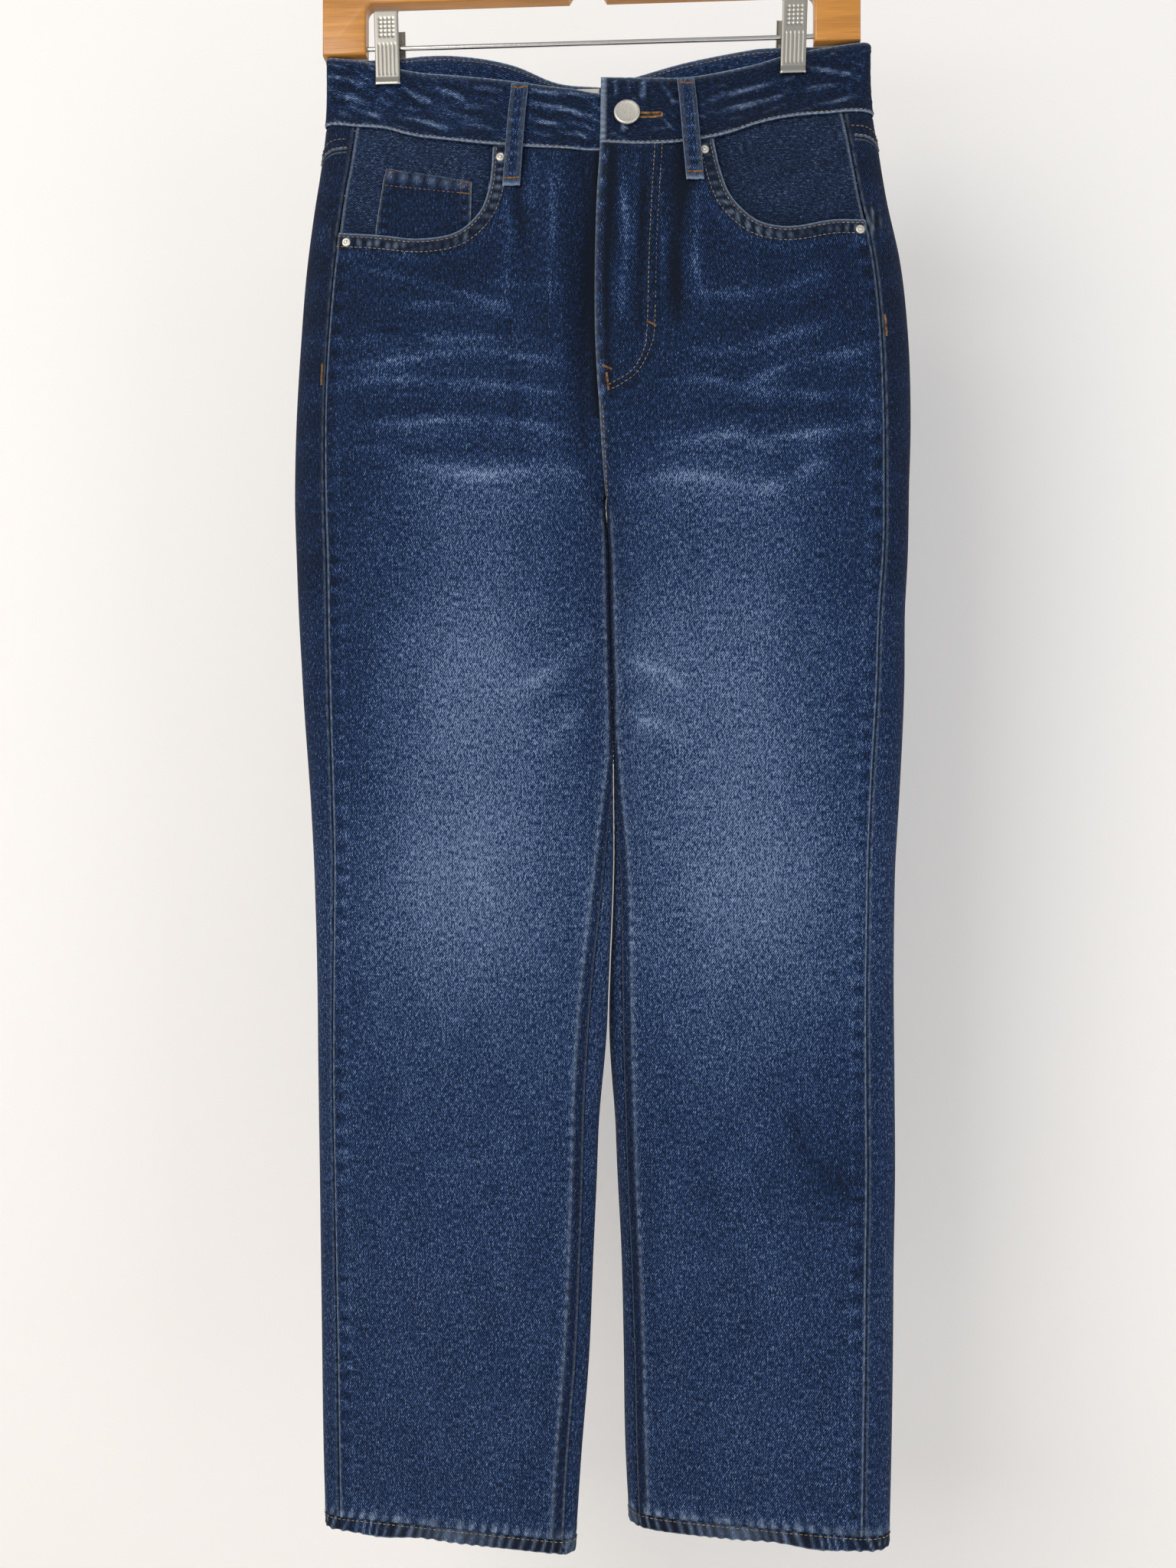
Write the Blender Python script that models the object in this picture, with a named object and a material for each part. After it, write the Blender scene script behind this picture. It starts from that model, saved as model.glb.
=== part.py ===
"""Straight-leg jeans clipped by the waist to a wooden hanger, hanging still.

World axes: +Z up, +X the picture's right, the front faces -Y.  The origin is
where a rail carries the hanger's hook.  Named sizes below are millimetres.
"""
import math

import bmesh
import bpy
import numpy as np
from mathutils import Vector
from mathutils.geometry import delaunay_2d_cdt

for old in list(bpy.data.objects):
    bpy.data.objects.remove(old, do_unlink=True)

MM = 0.001

# Cloth sizes
DENIM = 1.2
SEAM_GAP = 0.36
LAYER_GAP = 0.32
BAND_OUT = 0.9
BAND_IN = -1.3
HEM_OUT = 0.4
HEM_IN = -2.2
HEM_TALL = 10.0
LOOP_WIDE = 12.0
LOOP_THICK = 1.6
CROTCH_Z = -455.0
SEAM_LEVEL = -203.0

# Sections from the waist to the hems: outer edges, inner edges of each half, and half depths
SECTION_COLUMNS = ("z", "out_l", "mid_l", "mid_r", "out_r", "deep_l", "deep_r", "tip")
SECTIONS = (
    (-130, -184.6, 7.0, 7.0, 190.6, 7.5, 7.5, 4.0),
    (-185, -185.2, 7.0, 7.0, 191.8, 14.0, 14.0, 5.0),
    (-215, -188.5, 6.6, 6.6, 196.5, 18.5, 18.5, 7.0),
    (-250, -194.0, 4.8, 4.8, 202.3, 24.0, 24.0, 9.0),
    (-290, -199.2, 3.6, 3.6, 211.0, 28.0, 28.0, 10.0),
    (-340, -203.2, 3.8, 3.8, 216.5, 31.0, 31.0, 11.0),
    (-400, -206.6, 7.0, 7.0, 218.4, 31.0, 31.0, 11.0),
    (-455, -207.5, 9.8, 10.4, 217.2, 29.0, 29.0, 11.0),
    (-490, -206.4, 9.8, 14.5, 216.5, 27.0, 27.5, 11.0),
    (-530, -204.9, 9.8, 16.2, 214.6, 26.0, 27.0, 11.0),
    (-580, -202.3, 10.9, 17.8, 214.0, 25.0, 26.0, 11.0),
    (-656, -197.3, 11.9, 18.8, 210.5, 23.0, 25.0, 11.0),
    (-704, -194.9, 12.9, 18.0, 207.7, 22.0, 24.0, 11.0),
    (-741, -194.0, 11.8, 16.8, 206.9, 21.0, 23.5, 11.0),
    (-783, -193.2, 9.8, 15.2, 206.5, 20.0, 23.0, 10.0),
    (-847, -192.9, 6.6, 15.4, 206.9, 19.0, 22.0, 10.0),
    (-910, -192.4, 4.5, 17.2, 207.2, 18.0, 21.0, 10.0),
    (-974, -191.9, 1.8, 20.3, 206.1, 17.0, 20.0, 10.0),
    (-1038, -191.3, -0.8, 21.8, 205.5, 15.0, 19.0, 10.0),
    (-1106, -190.6, -6.1, 22.8, 204.3, 13.0, 18.0, 10.0),
    (-1180, -188.8, -10.8, 26.5, 202.4, 11.0, 17.0, 10.0),
)

# How far each seam lies in from the edge that is seen from the front
SEAM_COLUMNS = ("z", "side_l", "side_r", "inseam_l", "inseam_r")
SEAMS = (
    (-130, 20.0, 21.0, 0.0, 0.0),
    (-230, 23.5, 20.5, 0.0, 0.0),
    (-400, 24.0, 20.0, 0.0, 0.0),
    (-474, 25.5, 18.0, 0.0, 0.0),
    (-570, 23.0, 20.0, 0.0, 0.0),
    (-650, 19.5, 21.0, 0.5, 0.5),
    (-704, 17.5, 20.0, 4.0, 3.0),
    (-741, 16.0, 19.8, 6.0, 4.7),
    (-783, 14.4, 20.0, 8.0, 6.3),
    (-850, 13.3, 20.3, 9.0, 7.0),
    (-975, 13.6, 19.8, 8.0, 6.5),
    (-1106, 13.5, 19.5, 8.4, 7.6),
    (-1180, 12.5, 18.5, 7.5, 6.5),
)

# Turn of each leg about its own middle, as a slope in degrees, and its shift front to back
TURN_COLUMNS = ("z", "turn_l", "turn_r", "shift_l", "shift_r")
TURNS = (
    (-455, 0.0, 0.0, 0.0, 0.0),
    (-600, 0.6, 0.5, 0.0, 0.0),
    (-760, 2.8, 2.5, 0.0, 1.0),
    (-950, 5.8, 5.2, 0.0, 3.0),
    (-1180, 8.5, 8.0, 0.0, 5.0),
)

# Heights of the waistband's top edge and lower seam, front and back
BAND_COLUMNS = ("x", "front_top", "front_seam", "back_top", "back_seam")
BAND_LEFT = (
    (-187, -141.8, -190.0, -141.8, -190.0),
    (-160, -143.8, -192.8, -141.8, -188.0),
    (-142, -148.2, -195.0, -141.4, -186.5),
    (-128, -151.4, -199.8, -140.6, -185.5),
    (-95, -157.4, -206.8, -138.6, -183.5),
    (-55, -164.4, -212.6, -144.6, -189.0),
    (-25, -170.0, -215.2, -156.6, -200.5),
    (8, -174.5, -216.4, -160.4, -204.0),
)
BAND_RIGHT = (
    (6, -164.0, -211.8, -160.4, -204.0),
    (33, -165.0, -213.8, -153.6, -198.0),
    (65, -164.8, -212.6, -146.4, -191.0),
    (95, -159.2, -206.4, -142.8, -187.5),
    (116, -153.2, -198.2, -141.4, -186.0),
    (138, -147.4, -193.6, -141.2, -186.5),
    (160, -144.0, -192.0, -141.6, -188.5),
    (193, -142.2, -191.6, -142.2, -191.6),
)

# Largest folds: a line down the cloth, its half width and how far it stands out
FOLD_COLUMNS = ("face", "x0", "z0", "x1", "z1", "wide", "out")
FOLDS = (
    ("front", -7, -205, -5, -400, 11, -5.0),
    ("front", -27, -215, -24, -380, 12, 2.4),
    ("front", 66, -215, 60, -410, 14, 2.6),
    ("front", 88, -250, 84, -420, 14, -2.2),
    ("front", -125, -330, -60, -420, 16, -2.0),
    ("front", 170, -330, 120, -430, 16, -2.0),
    ("front", -60, -470, -150, -560, 20, 2.0),
    ("front", 60, -480, 150, -570, 20, 2.0),
    ("front", -30, -610, -110, -690, 18, -2.2),
    ("front", 45, -610, 120, -700, 18, -2.2),
    ("front", -150, -760, -60, -800, 20, 2.0),
    ("front", 150, -820, 60, -860, 20, 2.0),
    ("back", -150, -330, -60, -450, 18, 2.4),
    ("back", 150, -330, 60, -450, 18, 2.4),
    ("back", -150, -690, -50, -650, 18, 3.0),
    ("back", 150, -690, 50, -650, 18, 3.0),
    ("back", -150, -780, -50, -740, 18, -2.4),
    ("back", 150, -790, 50, -750, 18, -2.4),
)

# Rows of the shared grid
BAND_STEPS = 3
PANEL_LEVELS = (
    -203, -220, -238, -256, -275, -295, -318, -342, -366, -390, -412, -430, -444, -455,
    -472, -496, -524, -556, -590, -626, -664, -704, -744, -786, -830, -876, -924, -974,
    -1024, -1074, -1120,
)
HEM_EDGE = {"l": -1170.0, "r": -1163.0}
BACK_CELLS = 13
FRONT_CELLS = 11

# Pocket mouths, as the cut edge of the front panels
MOUTH_LEFT = ((-66.5, -213.0), (-67.1, -231.6), (-68.6, -243.6), (-72.3, -255.5), (-78.6, -264.7),
              (-88.0, -272.4), (-100.1, -276.3), (-119.6, -277.4), (-140.2, -274.4), (-171.0, -270.6))
MOUTH_RIGHT = ((83.6, -210.0), (87.8, -231.8), (93.4, -249.0), (102.2, -261.0), (113.5, -270.1),
               (127.8, -274.0), (141.1, -273.8), (155.5, -271.0), (168.7, -269.3), (187.0, -269.1))
FACING_UNDER = 13.0

# Hanger sizes
BOARD_X = (-187.0, 184.0)
BOARD_THICK = 13.0
BOARD_FOOT = -141.0
OPENING_X = (-156.6, 152.6)
OPENING_TOP = -106.0
OPENING_ROUND = 6.0
SHOULDER_Z = -84.0
CROWN_Z = -58.0
NOTCH_X = -2.5
NOTCH_WIDE = 26.0
NOTCH_TALL = 6.0
ROD_Z = -135.0
ROD_R = 1.65
SLEEVE_R = 3.25
CLIP_X = {"left": -142.0, "right": 139.0}
CLIP_WIDE = 17.0
JAW_IN = 3.6
JAW_THICK = 1.5
HOOK_R = 1.9
HOOK_BEND = 22.0


def column(rows, names, name):
    i = names.index(name)
    return np.array([row[i] for row in rows], float)


def smooth(xs, ys, x):
    """Value at x on a smooth curve through rising xs."""
    x = min(max(x, xs[0]), xs[-1])
    k = min(int(np.searchsorted(xs, x, side="right")) - 1, len(xs) - 2)
    slopes = np.gradient(ys, xs)
    h = xs[k + 1] - xs[k]
    t = (x - xs[k]) / h
    a = (1 + 2 * t) * (1 - t) ** 2 * ys[k] + t * (1 - t) ** 2 * h * slopes[k]
    b = t * t * (3 - 2 * t) * ys[k + 1] + t * t * (t - 1) * h * slopes[k + 1]
    return float(a + b)


def down(rows, names, name, z):
    """Smooth value of a table that runs down from the waist."""
    return smooth(column(rows, names, "z")[::-1], column(rows, names, name)[::-1], z)


def band_height(half, face, edge, x):
    rows = BAND_LEFT if half == "l" else BAND_RIGHT
    xs = column(rows, BAND_COLUMNS, "x")
    return smooth(xs, column(rows, BAND_COLUMNS, face + "_" + edge), x)


def closing(z):
    """Angle by which the front and back of a half have met: 0 in the seat, 90 in a leg."""
    t = min(max((CROTCH_Z + 85.0 - z) / 85.0, 0.0), 1.0)
    return 90.0 * t ** 1.6


def section(half, phi, z):
    """Point on a half's outer face: phi runs from the front middle round the side to the back."""
    edge = down(SECTIONS, SECTION_COLUMNS, "out_" + half, z)
    mid = down(SECTIONS, SECTION_COLUMNS, "mid_" + half, z)
    deep = down(SECTIONS, SECTION_COLUMNS, "deep_" + half, z)
    tip = down(SECTIONS, SECTION_COLUMNS, "tip", z)
    close = closing(z)
    front = math.cos(math.radians(phi)) >= 0
    if not front:
        deep *= 1.0 + 0.14 * min(max((z + 640.0) / 200.0, 0.0), 1.0)
    x = edge + (mid - edge) * (1 + math.sin(math.radians(phi))) / (1 + math.sin(math.radians(close)))
    d_out = abs(x - edge)
    d_mid = max(abs(mid - x), 0.0) + max(0.8 * (z - CROTCH_Z), 0.0)
    s_out = math.sqrt(2 * tip * d_out) + 1e-6
    s_mid = math.sqrt(2 * tip * d_mid) + 1e-6
    y = (s_out ** -4 + s_mid ** -4 + deep ** -4) ** -0.25
    if z > -230:
        clip = CLIP_X["left"] if half == "l" else CLIP_X["right"]
        cap = 2.2 + 0.16 * max(abs(x - clip) - 24, 0) + 0.4 * max(-178.0 - z, 0)
        y = (y ** -4 + cap ** -4) ** -0.25
    if abs(math.cos(math.radians(phi))) < 1e-6:
        y = 0.0
    y = -y if front else y
    for face, x0, z0, x1, z1, wide, out in FOLDS:
        if (face == "front") != front:
            continue
        run = math.hypot(x1 - x0, z1 - z0)
        t = ((x - x0) * (x1 - x0) + (z - z0) * (z1 - z0)) / run ** 2
        if t <= 0 or t >= 1:
            continue
        off = ((x - x0) * (z1 - z0) - (z - z0) * (x1 - x0)) / run
        push = out * math.exp(-(off / wide) ** 2) * math.sin(math.pi * t) ** 0.7
        push *= min(1.0, abs(y) / 14.0)
        y += -push if front else push
    turn = math.tan(math.radians(down(TURNS, TURN_COLUMNS, "turn_" + half, z)))
    y += -(x - 0.5 * (edge + mid)) * turn + down(TURNS, TURN_COLUMNS, "shift_" + half, z)
    return np.array((x, y, z))


def phi_at(half, z, inset, inner=False):
    """Angle where the section lies the given distance in from its outer or inner edge."""
    edge = down(SECTIONS, SECTION_COLUMNS, "out_" + half, z)
    mid = down(SECTIONS, SECTION_COLUMNS, "mid_" + half, z)
    if inner:
        inset = max(inset, 0.0)
        return 90.0 - math.degrees(math.acos(max(1 - 2 * inset / abs(mid - edge), -1)))
    s = inset / abs(mid - edge) * (1 + math.sin(math.radians(closing(z)))) - 1
    return math.degrees(math.asin(s))


def seam_angles(half, z):
    side = phi_at(half, z, down(SEAMS, SEAM_COLUMNS, "side_" + half, z))
    if z > CROTCH_Z:
        return side, closing(z), -180.0 - closing(z)
    front = phi_at(half, z, down(SEAMS, SEAM_COLUMNS, "inseam_" + half, z), inner=True)
    return side, front, front - 360.0


class Half:
    """Shared grid of one half: columns run from the back seam round the side to the front."""

    def __init__(self, half):
        self.half = half
        self.cols = BACK_CELLS + FRONT_CELLS + 1
        hem = HEM_EDGE[half]
        levels = list(PANEL_LEVELS) + [hem + HEM_TALL, hem + HEM_TALL / 2, hem]
        self.rows = BAND_STEPS + len(levels)
        self.hem_row = self.rows - 3
        self.pos = np.zeros((self.rows, self.cols, 3))
        self.u = np.arange(self.cols) * 16.0
        band_v = [-15.0 * (BAND_STEPS - k) for k in range(BAND_STEPS)]
        self.v = np.array(band_v + [SEAM_LEVEL - z for z in levels])
        for j in range(self.cols):
            for i in range(self.rows):
                if i < BAND_STEPS:
                    z, t = SEAM_LEVEL, i / BAND_STEPS
                else:
                    z, t = levels[i - BAND_STEPS], 1.0
                z_here = z
                for _ in range(4):
                    phi = self.angle(j, z_here)
                    x = section(half, phi, z_here)[0]
                    face = "front" if math.cos(math.radians(phi)) >= 0 else "back"
                    top = band_height(half, face, "top", x)
                    seam = band_height(half, face, "seam", x)
                    if i < BAND_STEPS:
                        z_here = top + (seam - top) * t
                    else:
                        fade = min(max((z + 380.0) / (SEAM_LEVEL + 380.0), 0.0), 1.0)
                        z_here = z + (seam - SEAM_LEVEL) * fade
                self.pos[i, j] = section(half, self.angle(j, z_here), z_here)
        self.nor = self.normals()

    def angle(self, j, z):
        side, front, back = seam_angles(self.half, z)
        if j <= BACK_CELLS:
            return back + (side - back) * j / BACK_CELLS
        return side + (front - side) * (j - BACK_CELLS) / FRONT_CELLS

    def normals(self):
        sign = 1.0 if self.half == "l" else -1.0
        p = self.pos
        total = np.zeros_like(p)
        faces = []
        for i in range(self.rows - 1):
            for j in range(self.cols - 1):
                quad = ((i, j), (i, j + 1), (i + 1, j + 1), (i + 1, j))
                n = np.cross(p[quad[3]] - p[quad[1]], p[quad[2]] - p[quad[0]])
                n = n * sign / (np.linalg.norm(n) + 1e-12)
                faces.append((quad, n))
                for q in quad:
                    total[q] += n
        for i in range(self.rows):
            if p[i, 0, 2] < CROTCH_Z + 1:
                both = total[i, 0] + total[i, -1]
                total[i, 0] = both
                total[i, -1] = both
        total /= np.linalg.norm(total, axis=2, keepdims=True) + 1e-12
        stretch = np.zeros(p.shape[:2])
        count = np.zeros(p.shape[:2])
        for quad, n in faces:
            for q in quad:
                stretch[q] += float(np.dot(total[q], n))
                count[q] += 1
        mitre = 1.0 / np.clip(stretch / count, 0.75, 1.0)
        for i in range(self.rows):
            if p[i, 0, 2] < CROTCH_Z + 1:
                m = 0.5 * (mitre[i, 0] + mitre[i, -1])
                mitre[i, 0] = m
                mitre[i, -1] = m
        return total * mitre[:, :, None]

    def cell(self, u, v):
        j = int(np.clip(np.searchsorted(self.u, u + 1e-9, side="right") - 1, 0, self.cols - 2))
        i = int(np.clip(np.searchsorted(self.v, v + 1e-9, side="right") - 1, 0, self.rows - 2))
        a = (u - self.u[j]) / (self.u[j + 1] - self.u[j])
        b = (v - self.v[i]) / (self.v[i + 1] - self.v[i])
        return i, j, a, b

    def at(self, u, v):
        """Point and outward vector on the grid's flat triangles."""
        i, j, a, b = self.cell(u, v)
        if a >= b:
            ids = (((i, j), 1 - a), ((i, j + 1), a - b), ((i + 1, j + 1), b))
        else:
            ids = (((i, j), 1 - b), ((i + 1, j), b - a), ((i + 1, j + 1), a))
        return sum(self.pos[q] * w for q, w in ids), sum(self.nor[q] * w for q, w in ids)

    def find(self, face, x, z):
        """Grid place of a spot seen at x, z on the front or back."""
        best = None
        columns_here = range(BACK_CELLS - 1, self.cols - 1) if face == "front" else range(0, BACK_CELLS)
        for i in range(self.rows - 1):
            if self.pos[i, :, 2].max() < z - 25 or self.pos[i + 1, :, 2].min() > z + 25:
                continue
            for j in columns_here:
                for corners in (((0, 0), (0, 1), (1, 1)), ((0, 0), (1, 0), (1, 1))):
                    tri = [self.pos[i + di, j + dj] for di, dj in corners]
                    m = np.array([[tri[1][0] - tri[0][0], tri[2][0] - tri[0][0]],
                                  [tri[1][2] - tri[0][2], tri[2][2] - tri[0][2]]])
                    if abs(np.linalg.det(m)) < 1e-9:
                        continue
                    s, t = np.linalg.solve(m, np.array([x - tri[0][0], z - tri[0][2]]))
                    miss = max(-s, -t, s + t - 1, 0.0)
                    if best is None or miss < best[0] - 1e-9:
                        uv = [(self.u[j + dj], self.v[i + di]) for di, dj in corners]
                        u = uv[0][0] * (1 - s - t) + uv[1][0] * s + uv[2][0] * t
                        v = uv[0][1] * (1 - s - t) + uv[1][1] * s + uv[2][1] * t
                        best = (miss, u, v)
        return best[1], best[2]


def inside(poly, x, y):
    hit = False
    for k in range(len(poly)):
        x0, y0 = poly[k - 1]
        x1, y1 = poly[k]
        if (y0 > y) != (y1 > y) and x < (x1 - x0) * (y - y0) / (y1 - y0) + x0:
            hit = not hit
    return hit


def finish_mesh(name, verts, faces, colour):
    """Make one object with its own material; its mesh is closed and faces outward."""
    mesh = bpy.data.meshes.new(name)
    mesh.from_pydata([tuple(v * MM for v in p) for p in verts], [], faces)
    mesh.validate()
    bm = bmesh.new()
    bm.from_mesh(mesh)
    bmesh.ops.remove_doubles(bm, verts=bm.verts, dist=0.000002)
    bmesh.ops.recalc_face_normals(bm, faces=bm.faces)
    bm.to_mesh(mesh)
    bm.free()
    obj = bpy.data.objects.new(name, mesh)
    bpy.context.scene.collection.objects.link(obj)
    mat = bpy.data.materials.new(name + "_finish")
    mat.use_nodes = True
    shader = mat.node_tree.nodes["Principled BSDF"]
    shader.inputs["Base Color"].default_value = colour[:3] + (1.0,)
    shader.inputs["Roughness"].default_value = colour[3]
    shader.inputs["Metallic"].default_value = colour[4]
    mesh.materials.append(mat)
    return obj


def patch(name, grid, outline, inner, outer, colour):
    """Solid cut from the grid's own triangles inside an outline, moved out by inner and outer."""
    us = [p[0] for p in outline]
    vs = [p[1] for p in outline]
    j0 = max(int(np.searchsorted(grid.u, min(us))) - 1, 0)
    j1 = min(int(np.searchsorted(grid.u, max(us))) + 1, grid.cols - 1)
    i0 = max(int(np.searchsorted(grid.v, min(vs))) - 1, 0)
    i1 = min(int(np.searchsorted(grid.v, max(vs))) + 1, grid.rows - 1)
    points = []
    index = {}
    for i in range(i0, i1 + 1):
        for j in range(j0, j1 + 1):
            index[i, j] = len(points)
            points.append(Vector((grid.u[j], grid.v[i])))
    lines = []
    for i in range(i0, i1 + 1):
        for j in range(j0, j1 + 1):
            if j < j1:
                lines.append((index[i, j], index[i, j + 1]))
            if i < i1:
                lines.append((index[i, j], index[i + 1, j]))
            if i < i1 and j < j1:
                lines.append((index[i, j], index[i + 1, j + 1]))
    base = len(points)
    points += [Vector(p) for p in outline]
    lines += [(base + k, base + (k + 1) % len(outline)) for k in range(len(outline))]
    verts, _, faces, _, _, _ = delaunay_2d_cdt(points, lines, [], 0, 0.35)
    keep = []
    for f in faces:
        cx = sum(verts[k][0] for k in f) / 3
        cy = sum(verts[k][1] for k in f) / 3
        if inside(outline, cx, cy):
            keep.append(list(f))
    used = sorted({k for f in keep for k in f})
    new = {k: n for n, k in enumerate(used)}
    tris = [[new[k] for k in f] for f in keep]
    base_points = []
    outward = []
    for k in used:
        p, n = grid.at(verts[k][0], verts[k][1])
        base_points.append(p)
        outward.append(n)
    return wall(name, base_points, outward, tris, inner, outer, colour)


def wall(name, points, outward, tris, inner, outer, colour):
    """Close a sheet of triangles into a wall, its rim drawn in by half of the seam gap."""
    points = [np.array(p, float) for p in points]
    outward = [np.array(n, float) for n in outward]
    flip = 0.0
    for a, b, c in tris:
        n = np.cross(points[b] - points[a], points[c] - points[a])
        flip += float(np.dot(n, outward[a]))
    if flip < 0:
        tris = [[a, c, b] for a, b, c in tris]
    edges = {}
    for a, b, c in tris:
        for e in ((a, b), (b, c), (c, a)):
            edges[e] = edges.get(e, 0) + 1
    rim = [e for e in edges if (e[1], e[0]) not in edges]
    pull = {}
    for a, b in rim:
        way = points[b] - points[a]
        length = np.linalg.norm(way)
        if length < 1e-9:
            continue
        n = outward[a] + outward[b]
        d = np.cross(n / np.linalg.norm(n), way / length)
        pull.setdefault(a, []).append(d)
        pull.setdefault(b, []).append(d)
    moved = [p.copy() for p in points]
    for k, ways in pull.items():
        total = sum(ways)
        size = float(np.dot(total, total))
        if size > 1e-6:
            scale = len(ways) / size if len(ways) == 2 else 1.0 / math.sqrt(size)
            moved[k] += total * min(scale, 1.5) * SEAM_GAP / 2
    count = len(points)
    verts = [moved[k] + outward[k] * outer for k in range(count)]
    verts += [moved[k] + outward[k] * inner for k in range(count)]
    faces = [tuple(t) for t in tris]
    faces += [(t[0] + count, t[2] + count, t[1] + count) for t in tris]
    for a, b in rim:
        faces.append((b, a, a + count))
        faces.append((b, a + count, b + count))
    return finish_mesh(name, verts, faces, colour)


DENIM_LOOK = (0.052, 0.068, 0.105, 0.85, 0.0)
DARK_DENIM = (0.035, 0.045, 0.075, 0.85, 0.0)
LABEL_LOOK = (0.62, 0.58, 0.48, 0.8, 0.0)
PEWTER = (0.52, 0.52, 0.51, 0.4, 1.0)
NICKEL = (0.58, 0.58, 0.57, 0.3, 1.0)
CHROME = (0.72, 0.72, 0.72, 0.12, 1.0)
BEECH = (0.5, 0.27, 0.12, 0.45, 0.0)

LEFT = Half("l")
RIGHT = Half("r")

# The halves share their outward vectors along the middle seams of the seat
for grid_row in range(LEFT.rows):
    if LEFT.pos[grid_row, -1, 2] > CROTCH_Z + 40:
        for edge_col in (0, -1):
            joined = LEFT.nor[grid_row, edge_col] + RIGHT.nor[grid_row, edge_col]
            joined = joined / np.linalg.norm(joined)
            LEFT.nor[grid_row, edge_col] = joined
            RIGHT.nor[grid_row, edge_col] = joined


def mouth_spots(grid, spots, lower=0.0):
    """A pocket mouth's curve in grid places, or the same curve moved down and inward."""
    found = []
    for k, (x, z) in enumerate(spots):
        before = np.array(spots[max(k - 1, 0)], float)
        after = np.array(spots[min(k + 1, len(spots) - 1)], float)
        way = (after - before) / np.linalg.norm(after - before)
        side = np.array((way[1], -way[0])) if grid.half == "r" else np.array((-way[1], way[0]))
        found.append(grid.find("front", x + side[0] * lower, z + side[1] * lower))
    return found


SEAM_COL_U = BACK_CELLS * 16.0
END_U = (BACK_CELLS + FRONT_CELLS) * 16.0

# Front panels, cut away at the pocket mouths
for grid, spots, side in ((LEFT, MOUTH_LEFT, "left"), (RIGHT, MOUTH_RIGHT, "right")):
    curve = mouth_spots(grid, spots)
    curve[0] = (curve[0][0], 0.0)
    curve[-1] = (SEAM_COL_U, curve[-1][1])
    hem_v = grid.v[grid.hem_row]
    shape = curve + [(SEAM_COL_U, hem_v), (END_U, hem_v), (END_U, 0.0)]
    patch("front_" + side, grid, shape, -DENIM, 0.0, DENIM_LOOK)
    under = mouth_spots(grid, spots, FACING_UNDER)
    under[0] = (under[0][0], 0.0)
    under[-1] = (SEAM_COL_U, under[-1][1])
    depth = -DENIM - LAYER_GAP
    patch("pocket_facing_" + side, grid, [(SEAM_COL_U, 0.0)] + under, depth - DENIM, depth, DARK_DENIM)

# Coin pocket, on the left facing and level with the panel that hides its foot
COIN_TOP = ((-140.2, -225.1), (-80.2, -237.8))
coin_foot = [(-80.8, -264.4), (-88.4, -270.8), (-100.3, -274.8), (-119.6, -275.9), (-140.0, -273.0), (-147.2, -272.2)]
coin = [LEFT.find("front", x, z) for x, z in list(COIN_TOP) + coin_foot]
patch("coin_pocket", LEFT, coin, -DENIM, 0.0, DENIM_LOOK)

# Yokes and back panels share a seam that falls towards the middle.  A back panel is one
# cut piece whose solid is parted at two levels, so that its collision follows the hollow leg.
YOKE_COLUMNS = ("share", "z")
YOKE_LINE = ((1.0, -208.5), (0.85, -213.0), (0.5, -236.0), (0.2, -258.0), (0.0, -270.0))
BACK_PARTS = (("thigh", -455.0, -786.0), ("calf", -786.0, None))
for grid, side in ((LEFT, "left"), (RIGHT, "right")):
    share = column(YOKE_LINE, YOKE_COLUMNS, "share")[::-1]
    height = column(YOKE_LINE, YOKE_COLUMNS, "z")[::-1]
    line = []
    for j in range(0, BACK_CELLS + 1):
        z = smooth(share, height, j / BACK_CELLS)
        line.append((grid.u[j], float(np.interp(-z, -grid.pos[:, j, 2], grid.v))))
    patch("yoke_" + side, grid, line + [(SEAM_COL_U, 0.0), (0.0, 0.0)], -DENIM, 0.0, DENIM_LOOK)
    part_v = SEAM_LEVEL - BACK_PARTS[0][1]
    patch("back_" + side + "_seat", grid, line + [(SEAM_COL_U, part_v), (0.0, part_v)], -DENIM, 0.0, DENIM_LOOK)
    for part, top_z, foot_z in BACK_PARTS:
        top_v = SEAM_LEVEL - top_z
        foot_v = grid.v[grid.hem_row] if foot_z is None else SEAM_LEVEL - foot_z
        shape = [(0.0, top_v), (SEAM_COL_U, top_v), (SEAM_COL_U, foot_v), (0.0, foot_v)]
        patch("back_" + side + "_" + part, grid, shape, -DENIM, 0.0, DENIM_LOOK)

# Fly placket, the doubled edge inside the curved stitching
FLY_CURVE = ((49.8, -213.0), (48.0, -245.0), (46.0, -282.5), (44.7, -340.8), (41.9, -356.4), (33.6, -372.0),
             (22.0, -380.5), (11.9, -385.0))
fly = [RIGHT.find("front", x, z) for x, z in FLY_CURVE]
fly[0] = (fly[0][0], 0.0)
fly_foot = float(np.interp(386.0, -RIGHT.pos[:, -1, 2], RIGHT.v))
patch("fly_placket", RIGHT, fly + [(END_U, fly_foot), (END_U, 0.0)], LAYER_GAP, LAYER_GAP + 1.0, DENIM_LOOK)

# Back pockets
POCKET_COLUMNS = ("side", "x", "top", "foot", "point", "wide", "wide_foot")
for side, x, top, foot, point, wide, wide_foot in (
    ("left", -98.0, -276.0, -392.0, -414.0, 146.0, 128.0),
    ("right", 112.0, -276.0, -392.0, -414.0, 146.0, 128.0),
):
    grid = LEFT if side == "left" else RIGHT
    spots = ((x - wide / 2, top), (x + wide / 2, top), (x + wide_foot / 2, foot), (x, point),
             (x - wide_foot / 2, foot))
    shape = [grid.find("back", a, b) for a, b in spots]
    patch("back_pocket_" + side, grid, shape, LAYER_GAP, LAYER_GAP + DENIM, DENIM_LOOK)


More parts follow.
